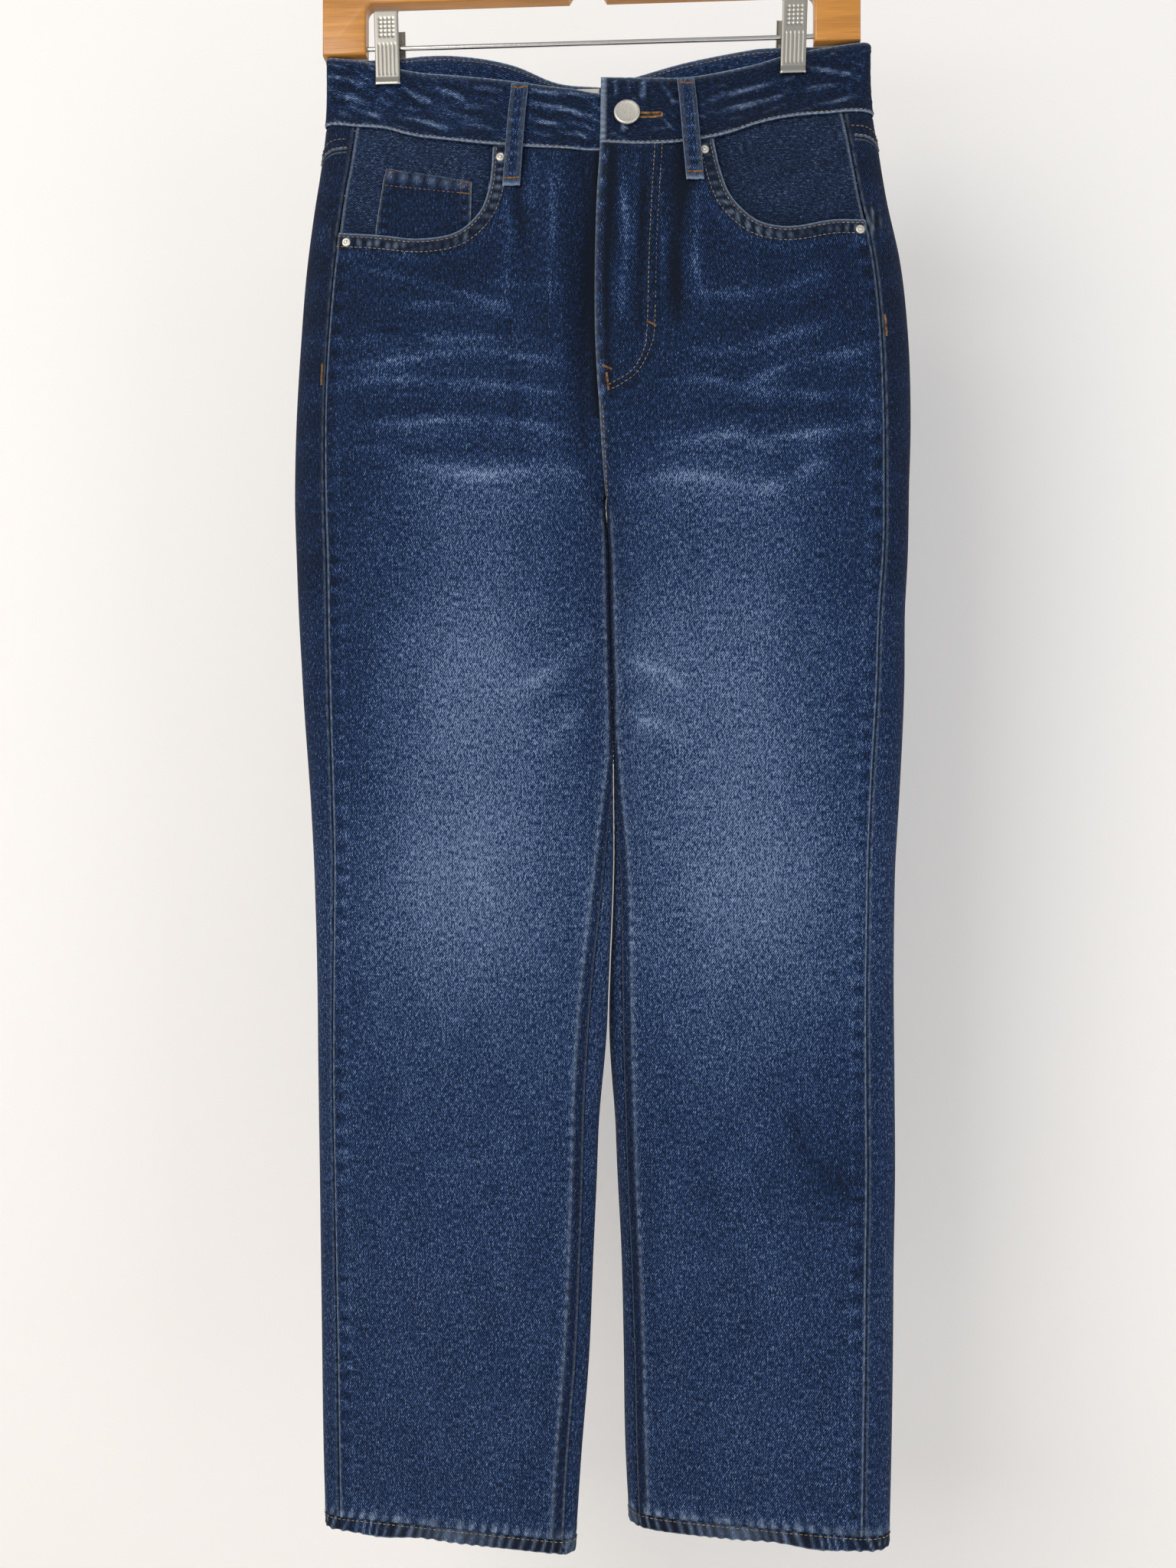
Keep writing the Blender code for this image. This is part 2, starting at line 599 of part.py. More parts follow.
def skin(face, x, z, out):
    """World point the given height above the cloth's outer face."""
    middle = down(SECTIONS, SECTION_COLUMNS, "mid_l", z)
    grid = LEFT if x < middle else RIGHT
    p, n = grid.at(*grid.find(face, x, z))
    return p + n * out


# Waistband: one strip from under the right front end, round the back, to the left end on top
band_points = []
band_out = []
for x_under in (41.0, 24.0):
    top = band_height("l", "front", "top", 6.5) + 1.0
    foot = band_height("r", "front", "seam", x_under) + SEAM_GAP
    column_here = []
    for k in range(BAND_STEPS + 1):
        p, n = RIGHT.at(*RIGHT.find("front", x_under, top + (foot - top) * k / BAND_STEPS))
        column_here.append((p - n * 2.7, n))
    band_points.append(column_here)
for grid, order in ((LEFT, range(LEFT.cols - 1, -1, -1)), (RIGHT, range(1, RIGHT.cols))):
    for j in order:
        column_here = []
        for k in range(BAND_STEPS + 1):
            p = grid.pos[k, j].copy()
            n = grid.nor[k, j]
            if k == BAND_STEPS:
                p[2] += SEAM_GAP / 2
            if grid is LEFT and j == grid.cols - 1:
                p = p - n * 2.7
            if grid is RIGHT and j == grid.cols - 1:
                p[0] += SEAM_GAP / 2
            column_here.append((p, n))
        band_points.append(column_here)
verts = []
for column_here in band_points:
    for p, n in column_here:
        verts.append(p + n * BAND_OUT)
    for p, n in column_here:
        verts.append(p + n * BAND_IN)
per = 2 * (BAND_STEPS + 1)
ring = list(range(BAND_STEPS + 1)) + list(range(2 * BAND_STEPS + 1, BAND_STEPS, -1))
faces = []
for c in range(len(band_points) - 1):
    for k in range(per):
        a, b = ring[k], ring[(k + 1) % per]
        faces.append((c * per + a, c * per + b, (c + 1) * per + b))
        faces.append((c * per + a, (c + 1) * per + b, (c + 1) * per + a))
for c in (0, len(band_points) - 1):
    for k in range(BAND_STEPS):
        quad = (k, k + 1, k + 1 + BAND_STEPS + 1, k + BAND_STEPS + 1)
        faces.append(tuple(c * per + q for q in quad))
finish_mesh("waistband", verts, faces, DENIM_LOOK)

# Turned hems, one ring a leg
for grid, side in ((LEFT, "left"), (RIGHT, "right")):
    verts = []
    count = grid.cols - 1
    rows_here = (grid.hem_row, grid.hem_row + 1, grid.hem_row + 2)
    for out in (HEM_OUT, HEM_IN):
        for i in rows_here:
            for j in range(count):
                p = grid.pos[i, j] + grid.nor[i, j] * out
                if i == grid.hem_row:
                    p = p - np.array((0, 0, SEAM_GAP / 2))
                verts.append(p)
    faces = []
    loops = [0, 1, 2, 5, 4, 3]
    for k in range(6):
        a, b = loops[k] * count, loops[(k + 1) % 6] * count
        for j in range(count):
            n = (j + 1) % count
            faces.append((a + j, b + j, b + n, a + n))
    finish_mesh("hem_" + side, verts, faces, DENIM_LOOK)

# Belt loops: a strap sewn at both ends that stands off the band between
LOOP_COLUMNS = ("name", "face", "x_top", "z_top", "x_foot", "z_foot")
LOOPS = (
    ("belt_loop_front_left", "front", -48.3, -167.5, -53.2, -242.5),
    ("belt_loop_front_right", "front", 64.8, -166.8, 71.2, -241.5),
    ("belt_loop_back_left", "back", -100.0, -141.5, -98.0, -205.5),
    ("belt_loop_back_right", "back", 108.0, -144.5, 106.0, -207.5),
    ("belt_loop_back_middle", "back", 6.8, -163.0, 6.0, -225.5),
)
# Height of the strap's inner face above the cloth at each share of its length
STRAP_RISE = ((0.0, 1.45), (0.08, 1.6), (0.2, 3.0), (0.35, 3.8), (0.5, 3.8), (0.65, 3.2), (0.8, 1.9), (0.92, 0.8),
              (1.0, 0.75))
for name, face, x0, z0, x1, z1 in LOOPS:
    verts = []
    width = LOOP_WIDE / 2
    for t, rise in STRAP_RISE:
        x = x0 + (x1 - x0) * t
        z = z0 + (z1 - z0) * t
        a, b = skin(face, x - width, z, rise), skin(face, x + width, z, rise)
        mid, far = skin(face, x, z, rise), skin(face, x, z, rise + LOOP_THICK)
        way = (far - mid) / np.linalg.norm(far - mid)
        lift = max(float(np.dot(mid - 0.5 * (a + b), way)), 0.0)
        for p in (a, b):
            verts.append(p + way * lift)
        for p in (b, a):
            verts.append(p + way * (lift + LOOP_THICK))
    faces = [(0, 1, 2, 3)]
    for c in range(len(STRAP_RISE) - 1):
        for k in range(4):
            a, b = 4 * c + k, 4 * c + (k + 1) % 4
            faces.append((a, b, b + 4))
            faces.append((a, b + 4, a + 4))
    last = 4 * (len(STRAP_RISE) - 1)
    faces.append((last, last + 3, last + 2, last + 1))
    finish_mesh(name, verts, faces, DENIM_LOOK)

# Plain label inside the back of the waistband
LABEL_X = (-11.5, 5.0)
LABEL_Z = (-161.6, -180.0)
verts = []
for out in (BAND_IN - 0.4, BAND_IN - 1.2):
    for z in LABEL_Z:
        for x in LABEL_X:
            p, n = LEFT.at(*LEFT.find("back", x, z))
            verts.append(p + n * out)
faces = [(0, 1, 3, 2), (4, 6, 7, 5), (0, 4, 5, 1), (1, 5, 7, 3), (3, 7, 6, 2), (2, 6, 4, 0)]
finish_mesh("waist_label", verts, faces, LABEL_LOOK)


def turned(name, x, z, lift, profile, sides, colour):
    """Round trim turned from (radius, height) rows, standing on the cloth at x, z."""
    p = skin("front", x, z, 0.0)
    n = skin("front", x, z, 1.0) - p
    n = n / np.linalg.norm(n)
    side = np.cross((0.0, 0.0, 1.0), n)
    side = side / np.linalg.norm(side)
    up = np.cross(n, side)
    verts = []
    for radius, height in profile:
        for k in range(sides):
            a = 2 * math.pi * k / sides
            verts.append(p + n * (lift + height) + (side * math.cos(a) + up * math.sin(a)) * radius)
    faces = [tuple(range(sides))]
    for r in range(len(profile) - 1):
        for k in range(sides):
            m = (k + 1) % sides
            faces.append((r * sides + k, r * sides + m, (r + 1) * sides + m, (r + 1) * sides + k))
    faces.append(tuple((len(profile) - 1) * sides + k for k in range(sides)))
    return finish_mesh(name, verts, faces, colour)


BUTTON_PROFILE = ((5.0, 0.0), (8.4, 0.5), (9.0, 1.4), (9.0, 2.2), (8.3, 3.0), (7.2, 3.0), (6.8, 2.6))
turned("waist_button", 25.1, -191.9, BAND_OUT + 0.45, BUTTON_PROFILE, 24, PEWTER)
RIVET_PROFILE = ((3.2, 0.0), (3.2, 0.5), (2.4, 1.0), (1.3, 1.3))
for name, x, z in (
    ("rivet_left_inner", -61.0, -220.5),
    ("rivet_left_outer", -166.5, -277.6),
    ("rivet_right_inner", 77.5, -218.6),
    ("rivet_right_outer", 181.5, -276.0),
):
    turned(name, x, z, 0.4, RIVET_PROFILE, 12, PEWTER)


def extruded(name, outline, y0, y1, colour, bevel=0.0):
    """Plate from an outline in x and z, between two depths."""
    count = len(outline)
    verts = [(x, y0, z) for x, z in outline] + [(x, y1, z) for x, z in outline]
    faces = [tuple(range(count)), tuple(range(2 * count - 1, count - 1, -1))]
    faces += [(k, k + count, (k + 1) % count + count, (k + 1) % count) for k in range(count)]
    obj = finish_mesh(name, [np.array(v) for v in verts], faces, colour)
    if bevel:
        bm = bmesh.new()
        bm.from_mesh(obj.data)
        rims = [e for e in bm.edges if abs(e.verts[0].co.y - e.verts[1].co.y) < 1e-6]
        bmesh.ops.bevel(bm, geom=rims, offset=bevel * MM, segments=1, affect="EDGES")
        bm.to_mesh(obj.data)
        bm.free()
    return obj


# Hanger board: a low arch over an opening, with a shallow notch under the hook
outline = []
ARCH_STEPS = 12
for k in range(ARCH_STEPS + 1):
    t = k / ARCH_STEPS
    x = BOARD_X[0] + (BOARD_X[1] - BOARD_X[0]) * t
    outline.append((x, SHOULDER_Z + (CROWN_Z - SHOULDER_Z) * math.sin(math.pi * t) ** 0.8))
outline += [(BOARD_X[1], BOARD_FOOT), (OPENING_X[1], BOARD_FOOT)]
for k in range(4):
    a = math.radians(30 * k)
    outline.append((OPENING_X[1] - OPENING_ROUND * (1 - math.cos(a)), OPENING_TOP - OPENING_ROUND * (1 - math.sin(a))))
outline += [(NOTCH_X + NOTCH_WIDE / 2, OPENING_TOP), (NOTCH_X + NOTCH_WIDE / 2 - 4, OPENING_TOP + NOTCH_TALL)]
outline += [(NOTCH_X - NOTCH_WIDE / 2 + 4, OPENING_TOP + NOTCH_TALL), (NOTCH_X - NOTCH_WIDE / 2, OPENING_TOP)]
for k in range(3, -1, -1):
    a = math.radians(30 * k)
    outline.append((OPENING_X[0] + OPENING_ROUND * (1 - math.cos(a)), OPENING_TOP - OPENING_ROUND * (1 - math.sin(a))))
outline += [(OPENING_X[0], BOARD_FOOT), (BOARD_X[0], BOARD_FOOT)]
board = extruded("hanger_board", outline, -BOARD_THICK / 2, BOARD_THICK / 2, BEECH, bevel=1.2)


def tube(name, spine, radius, sides, colour, bore=0.0):
    """Round bar, or a tube where bore is given, along a run of points in the x z plane."""
    spine = [np.array(p, float) for p in spine]
    verts = []
    across = np.array((0.0, 1.0, 0.0))
    radii = (radius, bore) if bore else (radius,)
    for r in radii:
        for k, p in enumerate(spine):
            way = spine[min(k + 1, len(spine) - 1)] - spine[max(k - 1, 0)]
            way = way / np.linalg.norm(way)
            out = np.cross(way, across)
            for s in range(sides):
                a = 2 * math.pi * (s + 0.5) / sides
                verts.append(p + (across * math.cos(a) + out * math.sin(a)) * r)
    faces = []
    n = len(spine)
    for q in range(len(radii)):
        for k in range(n - 1):
            for s in range(sides):
                m = (s + 1) % sides
                b = (q * n + k) * sides
                faces.append((b + s, b + m, b + sides + m, b + sides + s))
    if bore:
        for k in (0, n - 1):
            for s in range(sides):
                m = (s + 1) % sides
                a, b = k * sides, (n + k) * sides
                faces.append((a + s, a + m, b + m, b + s))
    else:
        faces.append(tuple(range(sides)))
        faces.append(tuple((n - 1) * sides + s for s in range(sides)))
    return finish_mesh(name, verts, faces, colour)


# Hook: stem, swan neck and open bend, its inside top at the origin
hook = []
for k in range(15):
    a = math.radians(-30 + 240 * k / 14)
    hook.append((HOOK_BEND * math.cos(a), 0, HOOK_R - HOOK_BEND + HOOK_BEND * math.sin(a)))
neck_start = np.array(hook[-1])
for t in (0.25, 0.5, 0.75, 1.0):
    bend = t * t * (3 - 2 * t)
    hook.append((neck_start[0] * (1 - bend), 0, neck_start[2] - 18.0 * t + 3.0 * math.sin(math.pi * t)))
hook.append((0.0, 0.0, CROWN_Z - 12.0))
tube("hanger_hook", hook, HOOK_R, 10, CHROME)
tube("hanger_rod", ((OPENING_X[0] - 9, 0, ROD_Z), (OPENING_X[1] + 9, 0, ROD_Z)), ROD_R, 12, CHROME)

# Bores for the hook's stem and the rod's ends
for name, ends, radius in (
    ("bore_stem", ((0, 0, CROWN_Z + 20), (0, 0, CROWN_Z - 13)), HOOK_R + 0.3),
    ("bore_left", ((OPENING_X[0] + 5, 0, ROD_Z), (OPENING_X[0] - 10, 0, ROD_Z)), ROD_R + 0.3),
    ("bore_right", ((OPENING_X[1] - 5, 0, ROD_Z), (OPENING_X[1] + 10, 0, ROD_Z)), ROD_R + 0.3),
):
    cutter = tube(name, ends, radius, 12, CHROME)
    cutter.hide_render = True
    cutter.display_type = "WIRE"
    cut = board.modifiers.new(name, "BOOLEAN")
    cut.operation = "DIFFERENCE"
    cut.solver = "EXACT"
    cut.object = cutter

# Clips: two jaws pinch the waistband, and a spring sleeve on the rod carries them
JAW_COLUMNS = ("y", "z")
FRONT_JAW = ((0.0, -110.5), (1.5, -110.5), (1.5, -157.5), (2.9, -160.5), (2.2, -162.3), (0.9, -161.6), (0.0, -158.0))
BACK_JAW = ((0.0, -121.0), (1.5, -121.0), (1.5, -155.5), (2.6, -158.0), (2.0, -159.4), (0.9, -158.8), (0.0, -156.0))
for side, x in CLIP_X.items():
    lean = 1.4 if side == "left" else -1.6
    inward = 1.0 if side == "left" else -1.0
    for jaw, rows, way, shift in (("front", FRONT_JAW, -1.0, 0.0), ("back", BACK_JAW, 1.0, 3.2 * inward)):
        verts = []
        for edge in (-CLIP_WIDE / 2, CLIP_WIDE / 2):
            for y, z in rows:
                slope = lean * (ROD_Z - z) / 50.0
                verts.append(np.array((x + shift + edge + slope, way * (JAW_IN + y), z)))
        n = len(rows)
        faces = [tuple(range(n)), tuple(range(2 * n - 1, n - 1, -1))]
        faces += [(k, (k + 1) % n, (k + 1) % n + n, k + n) for k in range(n)]
        finish_mesh("clip_" + side + "_" + jaw, verts, faces, NICKEL)
    ends = ((x - 6.0, 0, ROD_Z), (x + 6.0, 0, ROD_Z))
    tube("clip_" + side + "_spring", ends, SLEEVE_R, 12, NICKEL, bore=ROD_R + 0.3)
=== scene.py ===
import math

import bmesh
import bpy
import numpy as np
from mathutils import Matrix, Vector


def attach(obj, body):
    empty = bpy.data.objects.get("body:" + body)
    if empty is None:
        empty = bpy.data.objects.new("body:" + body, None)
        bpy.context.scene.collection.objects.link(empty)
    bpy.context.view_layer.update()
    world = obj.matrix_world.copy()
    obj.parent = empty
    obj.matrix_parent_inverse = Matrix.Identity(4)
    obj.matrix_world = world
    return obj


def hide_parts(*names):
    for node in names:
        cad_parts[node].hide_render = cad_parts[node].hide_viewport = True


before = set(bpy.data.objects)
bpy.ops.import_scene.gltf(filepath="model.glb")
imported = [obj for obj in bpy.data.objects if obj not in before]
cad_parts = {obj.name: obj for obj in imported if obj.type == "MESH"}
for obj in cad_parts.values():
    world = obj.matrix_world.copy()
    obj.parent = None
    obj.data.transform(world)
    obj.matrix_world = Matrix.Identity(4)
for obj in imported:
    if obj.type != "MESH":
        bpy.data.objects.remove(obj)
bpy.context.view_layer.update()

# Front panels.  The two long front pieces of washed indigo twill, cut away at the pocket
# mouths.  Each hangs as a soft shell from the waistband seam to the hem, joined to the back
# panel at the side seam and the inseam; the right one carries the doubled edge of the fly.
MM = 0.001
CROTCH_Z = -455.0
SECTIONS = (
    ("z", "out_l", "mid_l", "mid_r", "out_r", "deep_l", "deep_r", "tip"),
    (-130, -184.6, 7.0, 7.0, 190.6, 7.5, 7.5, 4.0),
    (-185, -185.2, 7.0, 7.0, 191.8, 14.0, 14.0, 5.0),
    (-215, -188.5, 6.6, 6.6, 196.5, 18.5, 18.5, 7.0),
    (-250, -194.0, 4.8, 4.8, 202.3, 24.0, 24.0, 9.0),
    (-290, -199.2, 3.6, 3.6, 211.0, 28.0, 28.0, 10.0),
    (-340, -203.2, 3.8, 3.8, 216.5, 31.0, 31.0, 11.0),
    (-400, -206.6, 7.0, 7.0, 218.4, 31.0, 31.0, 11.0),
    (-455, -207.5, 9.8, 10.4, 217.2, 29.0, 29.0, 11.0),
    (-490, -206.4, 9.8, 14.5, 216.5, 27.0, 27.5, 11.0),
    (-530, -204.9, 9.8, 16.2, 214.6, 26.0, 27.0, 11.0),
    (-580, -202.3, 10.9, 17.8, 214.0, 25.0, 26.0, 11.0),
    (-656, -197.3, 11.9, 18.8, 210.5, 23.0, 25.0, 11.0),
    (-704, -194.9, 12.9, 18.0, 207.7, 22.0, 24.0, 11.0),
    (-741, -194.0, 11.8, 16.8, 206.9, 21.0, 23.5, 11.0),
    (-783, -193.2, 9.8, 15.2, 206.5, 20.0, 23.0, 10.0),
    (-847, -192.9, 6.6, 15.4, 206.9, 19.0, 22.0, 10.0),
    (-910, -192.4, 4.5, 17.2, 207.2, 18.0, 21.0, 10.0),
    (-974, -191.9, 1.8, 20.3, 206.1, 17.0, 20.0, 10.0),
    (-1038, -191.3, -0.8, 21.8, 205.5, 15.0, 19.0, 10.0),
    (-1106, -190.6, -6.1, 22.8, 204.3, 13.0, 18.0, 10.0),
    (-1180, -188.8, -10.8, 26.5, 202.4, 11.0, 17.0, 10.0),
)
SEAMS = (
    ("z", "side_l", "side_r", "inseam_l", "inseam_r"),
    (-130, 20.0, 21.0, 0.0, 0.0),
    (-230, 23.5, 20.5, 0.0, 0.0),
    (-400, 24.0, 20.0, 0.0, 0.0),
    (-474, 25.5, 18.0, 0.0, 0.0),
    (-570, 23.0, 20.0, 0.0, 0.0),
    (-650, 19.5, 21.0, 0.5, 0.5),
    (-704, 17.5, 20.0, 4.0, 3.0),
    (-741, 16.0, 19.8, 6.0, 4.7),
    (-783, 14.4, 20.0, 8.0, 6.3),
    (-850, 13.3, 20.3, 9.0, 7.0),
    (-975, 13.6, 19.8, 8.0, 6.5),
    (-1106, 13.5, 19.5, 8.4, 7.6),
    (-1180, 12.5, 18.5, 7.5, 6.5),
)
TURNS = (
    ("z", "turn_l", "turn_r", "shift_l", "shift_r"),
    (-455, 0.0, 0.0, 0.0, 0.0),
    (-600, 0.6, 0.5, 0.0, 0.0),
    (-760, 2.8, 2.5, 0.0, 1.0),
    (-950, 5.8, 5.2, 0.0, 3.0),
    (-1180, 8.5, 8.0, 0.0, 5.0),
)
BAND_COLUMNS = ("x", "front_top", "front_seam", "back_top", "back_seam")
BAND_LEFT = (
    (-187, -141.8, -190.0, -141.8, -190.0),
    (-160, -143.8, -192.8, -141.8, -188.0),
    (-142, -148.2, -195.0, -141.4, -186.5),
    (-128, -151.4, -199.8, -140.6, -185.5),
    (-95, -157.4, -206.8, -138.6, -183.5),
    (-55, -164.4, -212.6, -144.6, -189.0),
    (-25, -170.0, -215.2, -156.6, -200.5),
    (8, -174.5, -216.4, -160.4, -204.0),
)
BAND_RIGHT = (
    (6, -164.0, -211.8, -160.4, -204.0),
    (33, -165.0, -213.8, -153.6, -198.0),
    (65, -164.8, -212.6, -146.4, -191.0),
    (95, -159.2, -206.4, -142.8, -187.5),
    (116, -153.2, -198.2, -141.4, -186.0),
    (138, -147.4, -193.6, -141.2, -186.5),
    (160, -144.0, -192.0, -141.6, -188.5),
    (193, -142.2, -191.6, -142.2, -191.6),
)
MOUTHS = {
    "l": ((-66.5, -213.0), (-67.1, -231.6), (-68.6, -243.6), (-72.3, -255.5), (-78.6, -264.7),
          (-88.0, -272.4), (-100.1, -276.3), (-119.6, -277.4), (-140.2, -274.4), (-171.0, -270.6)),
    "r": ((83.6, -210.0), (87.8, -231.8), (93.4, -249.0), (102.2, -261.0), (113.5, -270.1),
          (127.8, -274.0), (141.1, -273.8), (155.5, -271.0), (168.7, -269.3), (187.0, -269.1)),
}
FLY_CURVE = ((49.8, -205.0), (49.8, -213.0), (48.0, -245.0), (46.0, -282.5), (44.7, -340.8),
             (41.9, -356.4), (33.6, -372.0), (22.0, -380.5), (11.9, -385.0))
HEM_EDGE = {"l": -1170.0, "r": -1163.0}
HEM_TALL = 10.0
CLIP_X = {"left": -142.0, "right": 139.0}
DENIM = 1.0
# Broad folds of each face: both ends of a line, its half width and its height
FOLDS = {
    "front": (
        (-7, -205, -5, -400, 11, -5.0), (-27, -215, -24, -380, 12, 2.4), (66, -215, 60, -410, 14, 2.6),
        (88, -250, 84, -420, 14, -2.2), (-125, -330, -60, -420, 16, -2.0),
        (170, -330, 120, -430, 16, -2.0), (-60, -470, -150, -560, 20, 2.0),
        (60, -480, 150, -570, 20, 2.0), (-30, -610, -110, -690, 18, -2.2),
        (45, -610, 120, -700, 18, -2.2), (-150, -760, -60, -800, 20, 2.0), (150, -820, 60, -860, 20, 2.0),
    ),
    "back": (
        (-150, -330, -60, -450, 18, 2.4), (150, -330, 60, -450, 18, 2.4),
        (-150, -690, -50, -650, 18, 3.0), (150, -690, 50, -650, 18, 3.0),
        (-150, -780, -50, -740, 18, -2.4), (150, -790, 50, -750, 18, -2.4),
    ),
}
# Smaller creases and whiskers: both ends, the bow, half width, height, and worn paleness, painted shade where below
# 0
CREASES = {
    "front": (
        (-4, -205, -3, -430, 0, 6, -3.0, -0.24), (-19, -214, -17, -400, 3, 6, 1.3, 0.06),
        (-45, -212, -42, -300, 4, 7, -1.3, -0.20), (-29, -216, -26, -330, -3, 5, 0.9, 0.28),
        (-36, -214, -38, -262, 2, 4, 0.7, 0.22), (-22, -216, -12, -252, 2, 4, 0.6, 0.14),
        (-60, -240, -56, -340, -4, 7, 1.2, 0.20), (-50, -296, -46, -420, 5, 8, -0.9, -0.12),
        (60, -208, 56, -345, -4, 11, -2.0, -0.42), (50, -220, 50, -330, 1, 4, 1.0, 0.30),
        (72, -244, 80, -335, 4, 8, 1.6, 0.28), (26, -222, 25, -340, 2, 7, 1.2, 0.40),
        (33, -214, 31, -300, 1, 3, 0.5, 0.22), (39, -216, 36, -350, 2, 4, -0.9, -0.34),
        (15, -210, 13, -345, 0, 4, -0.7, -0.24), (19, -214, 18, -300, 1, 4, -0.5, -0.20),
        (-138, -287, -112, -292, 0, 9, 0.5, 0.14), (-165, -296, -40, -338, -7, 7, 0.7, 0.26),
        (-149, -317, -52, -322, 6, 8, 0.8, 0.20), (-80, -304, -8, -310, 5, 6, 0.6, 0.14),
        (-178, -350, -20, -352, -6, 8, 0.7, 0.24), (-182, -366, -8, -364, -8, 9, 0.9, 0.30),
        (-172, -377, -8, -388, -8, 8, 0.9, 0.30), (-170, -404, -8, -411, -6, 9, 0.8, 0.30),
        (-182, -419, -110, -430, -3, 7, 0.5, 0.16), (-134, -437, -2, -440, -3, 11, 0.8, 0.34),
        (-160, -330, -70, -352, 5, 7, -0.7, -0.10), (-165, -398, -40, -400, -6, 6, -0.6, -0.10),
        (-165, -424, -30, -425, -4, 6, -0.6, -0.12), (60, -322, 166, -305, 4, 8, 0.8, 0.24),
        (62, -358, 170, -338, 5, 8, 0.9, 0.26), (96, -384, 196, -354, -4, 8, 0.9, 0.34),
        (46, -380, 128, -388, -5, 8, 0.8, 0.24), (118, -386, 200, -393, -3, 7, 0.7, 0.24),
        (44, -419, 128, -421, -5, 8, 0.8, 0.28), (104, -424, 200, -404, -2, 8, 0.9, 0.32),
        (14, -443, 132, -451, -4, 9, 0.8, 0.30), (112, -452, 168, -432, -2, 8, 0.7, 0.26),
        (92, -340, 168, -322, 3, 6, -0.7, -0.09), (90, -374, 172, -352, 4, 6, -0.7, -0.09),
        (60, -404, 190, -396, -5, 6, -0.7, -0.10), (-64, -587, 4, -546, 4, 8, 1.1, 0.20),
        (-38, -622, -4, -594, 2, 7, 1.0, 0.18), (18, -556, 66, -585, -2, 8, 1.1, 0.22),
        (18, -594, 68, -621, -2, 7, 1.0, 0.22), (-54, -604, -6, -572, 3, 7, -0.9, -0.07),
        (20, -574, 62, -602, -2, 7, -0.9, -0.07), (-182, -350, -178, -470, 4, 8, -1.2, -0.05),
        (-120, -860, -40, -905, 7, 16, -1.1, 0.0), (-160, -960, -70, -985, 8, 18, 1.0, 0.0),
        (-150, -1080, -60, -1060, 6, 18, -0.9, 0.0), (60, -930, 150, -900, 7, 18, -1.1, -0.03),
        (130, -850, 180, -930, 9, 14, -1.2, -0.12), (70, -1040, 160, -1075, 7, 18, 1.0, 0.0),
    ),
    "back": (
        (-40, -300, -18, -420, 6, 10, -2.0, -0.06), (48, -300, 30, -420, -6, 10, -2.0, -0.06),
        (-160, -430, -30, -452, 10, 12, 1.8, 0.16), (168, -430, 44, -452, 10, 12, 1.8, 0.16),
        (-170, -460, -40, -492, -8, 11, -1.6, -0.05), (176, -460, 52, -492, -8, 11, -1.6, -0.05),
        (-165, -676, -30, -664, 8, 11, 1.8, 0.22), (172, -680, 48, -666, 8, 11, 1.8, 0.22),
        (-160, -706, -24, -716, -8, 10, -1.7, -0.06), (176, -712, 44, -718, -8, 10, -1.7, -0.06),
        (-150, -742, -30, -760, 6, 10, 1.5, 0.2), (165, -748, 50, -766, 6, 10, 1.5, 0.2),
        (-140, -800, -40, -786, 6, 12, -1.3, -0.04), (160, -806, 60, -790, 6, 12, -1.3, -0.04),
        (-120, -960, -50, -990, 8, 18, 1.2, 0.0), (80, -980, 160, -950, 8, 18, 1.2, 0.0),
    ),
}
# Broad worn areas and dark ones, as soft ovals: middle, half width, half height and amount
FADES = {
    "front": (
        (-80, -570, 66, 105, 0.34), (-92, -725, 60, 75, 0.20), (-72, -455, 66, 36, 0.14),
        (-76, -650, 92, 190, 0.14), (100, -570, 70, 110, 0.30), (110, -725, 62, 75, 0.20),
        (92, -455, 70, 40, 0.12), (92, -650, 96, 190, 0.14), (42, -560, 26, 70, 0.12),
        (190, -560, 20, 120, 0.06), (-120, -300, 50, 22, -0.06), (30, -290, 20, 60, -0.03),
        (58, -232, 12, 28, -0.14), (170, -905, 30, 40, -0.12), (-100, -1010, 90, 110, 0.03),
        (120, -1050, 80, 90, 0.03),
    ),
    "back": (
        (-98, -350, 60, 90, 0.22), (112, -350, 60, 90, 0.22), (-98, -600, 60, 170, 0.16),
        (112, -600, 60, 170, 0.16), (-98, -735, 56, 60, 0.14), (112, -735, 56, 60, 0.14),
    ),
}


def smooth(xs, ys, x):
    """Values at x on a smooth curve through rising xs."""
    xs, ys = np.asarray(xs, float), np.asarray(ys, float)
    x = np.clip(x, xs[0], xs[-1])
    k = np.clip(np.searchsorted(xs, x, side="right") - 1, 0, len(xs) - 2)
    slopes = np.gradient(ys, xs)
    h = xs[k + 1] - xs[k]
    t = (x - xs[k]) / h
    a = (1 + 2 * t) * (1 - t) ** 2 * ys[k] + t * (1 - t) ** 2 * h * slopes[k]
    return a + t * t * (3 - 2 * t) * ys[k + 1] + t * t * (t - 1) * h * slopes[k + 1]


def down(rows, name, z):
    """Smooth value of a named column of a table that runs down from the waist."""
    k = rows[0].index(name)
    rows = rows[:0:-1]
    return smooth([row[0] for row in rows], [row[k] for row in rows], z)


def band_height(half, face, edge, x):
    rows = BAND_LEFT if half == "l" else BAND_RIGHT
    k = BAND_COLUMNS.index(face + "_" + edge)
    return smooth([row[0] for row in rows], [row[k] for row in rows], x)


def band_level(half, edge, x, front):
    """Height of the waistband's top edge or lower seam over x, on the front or the back."""
    return np.where(front, band_height(half, "front", edge, x), band_height(half, "back", edge, x))


def by_face(table):
    return [(face, row) for face, rows in table.items() for row in rows]


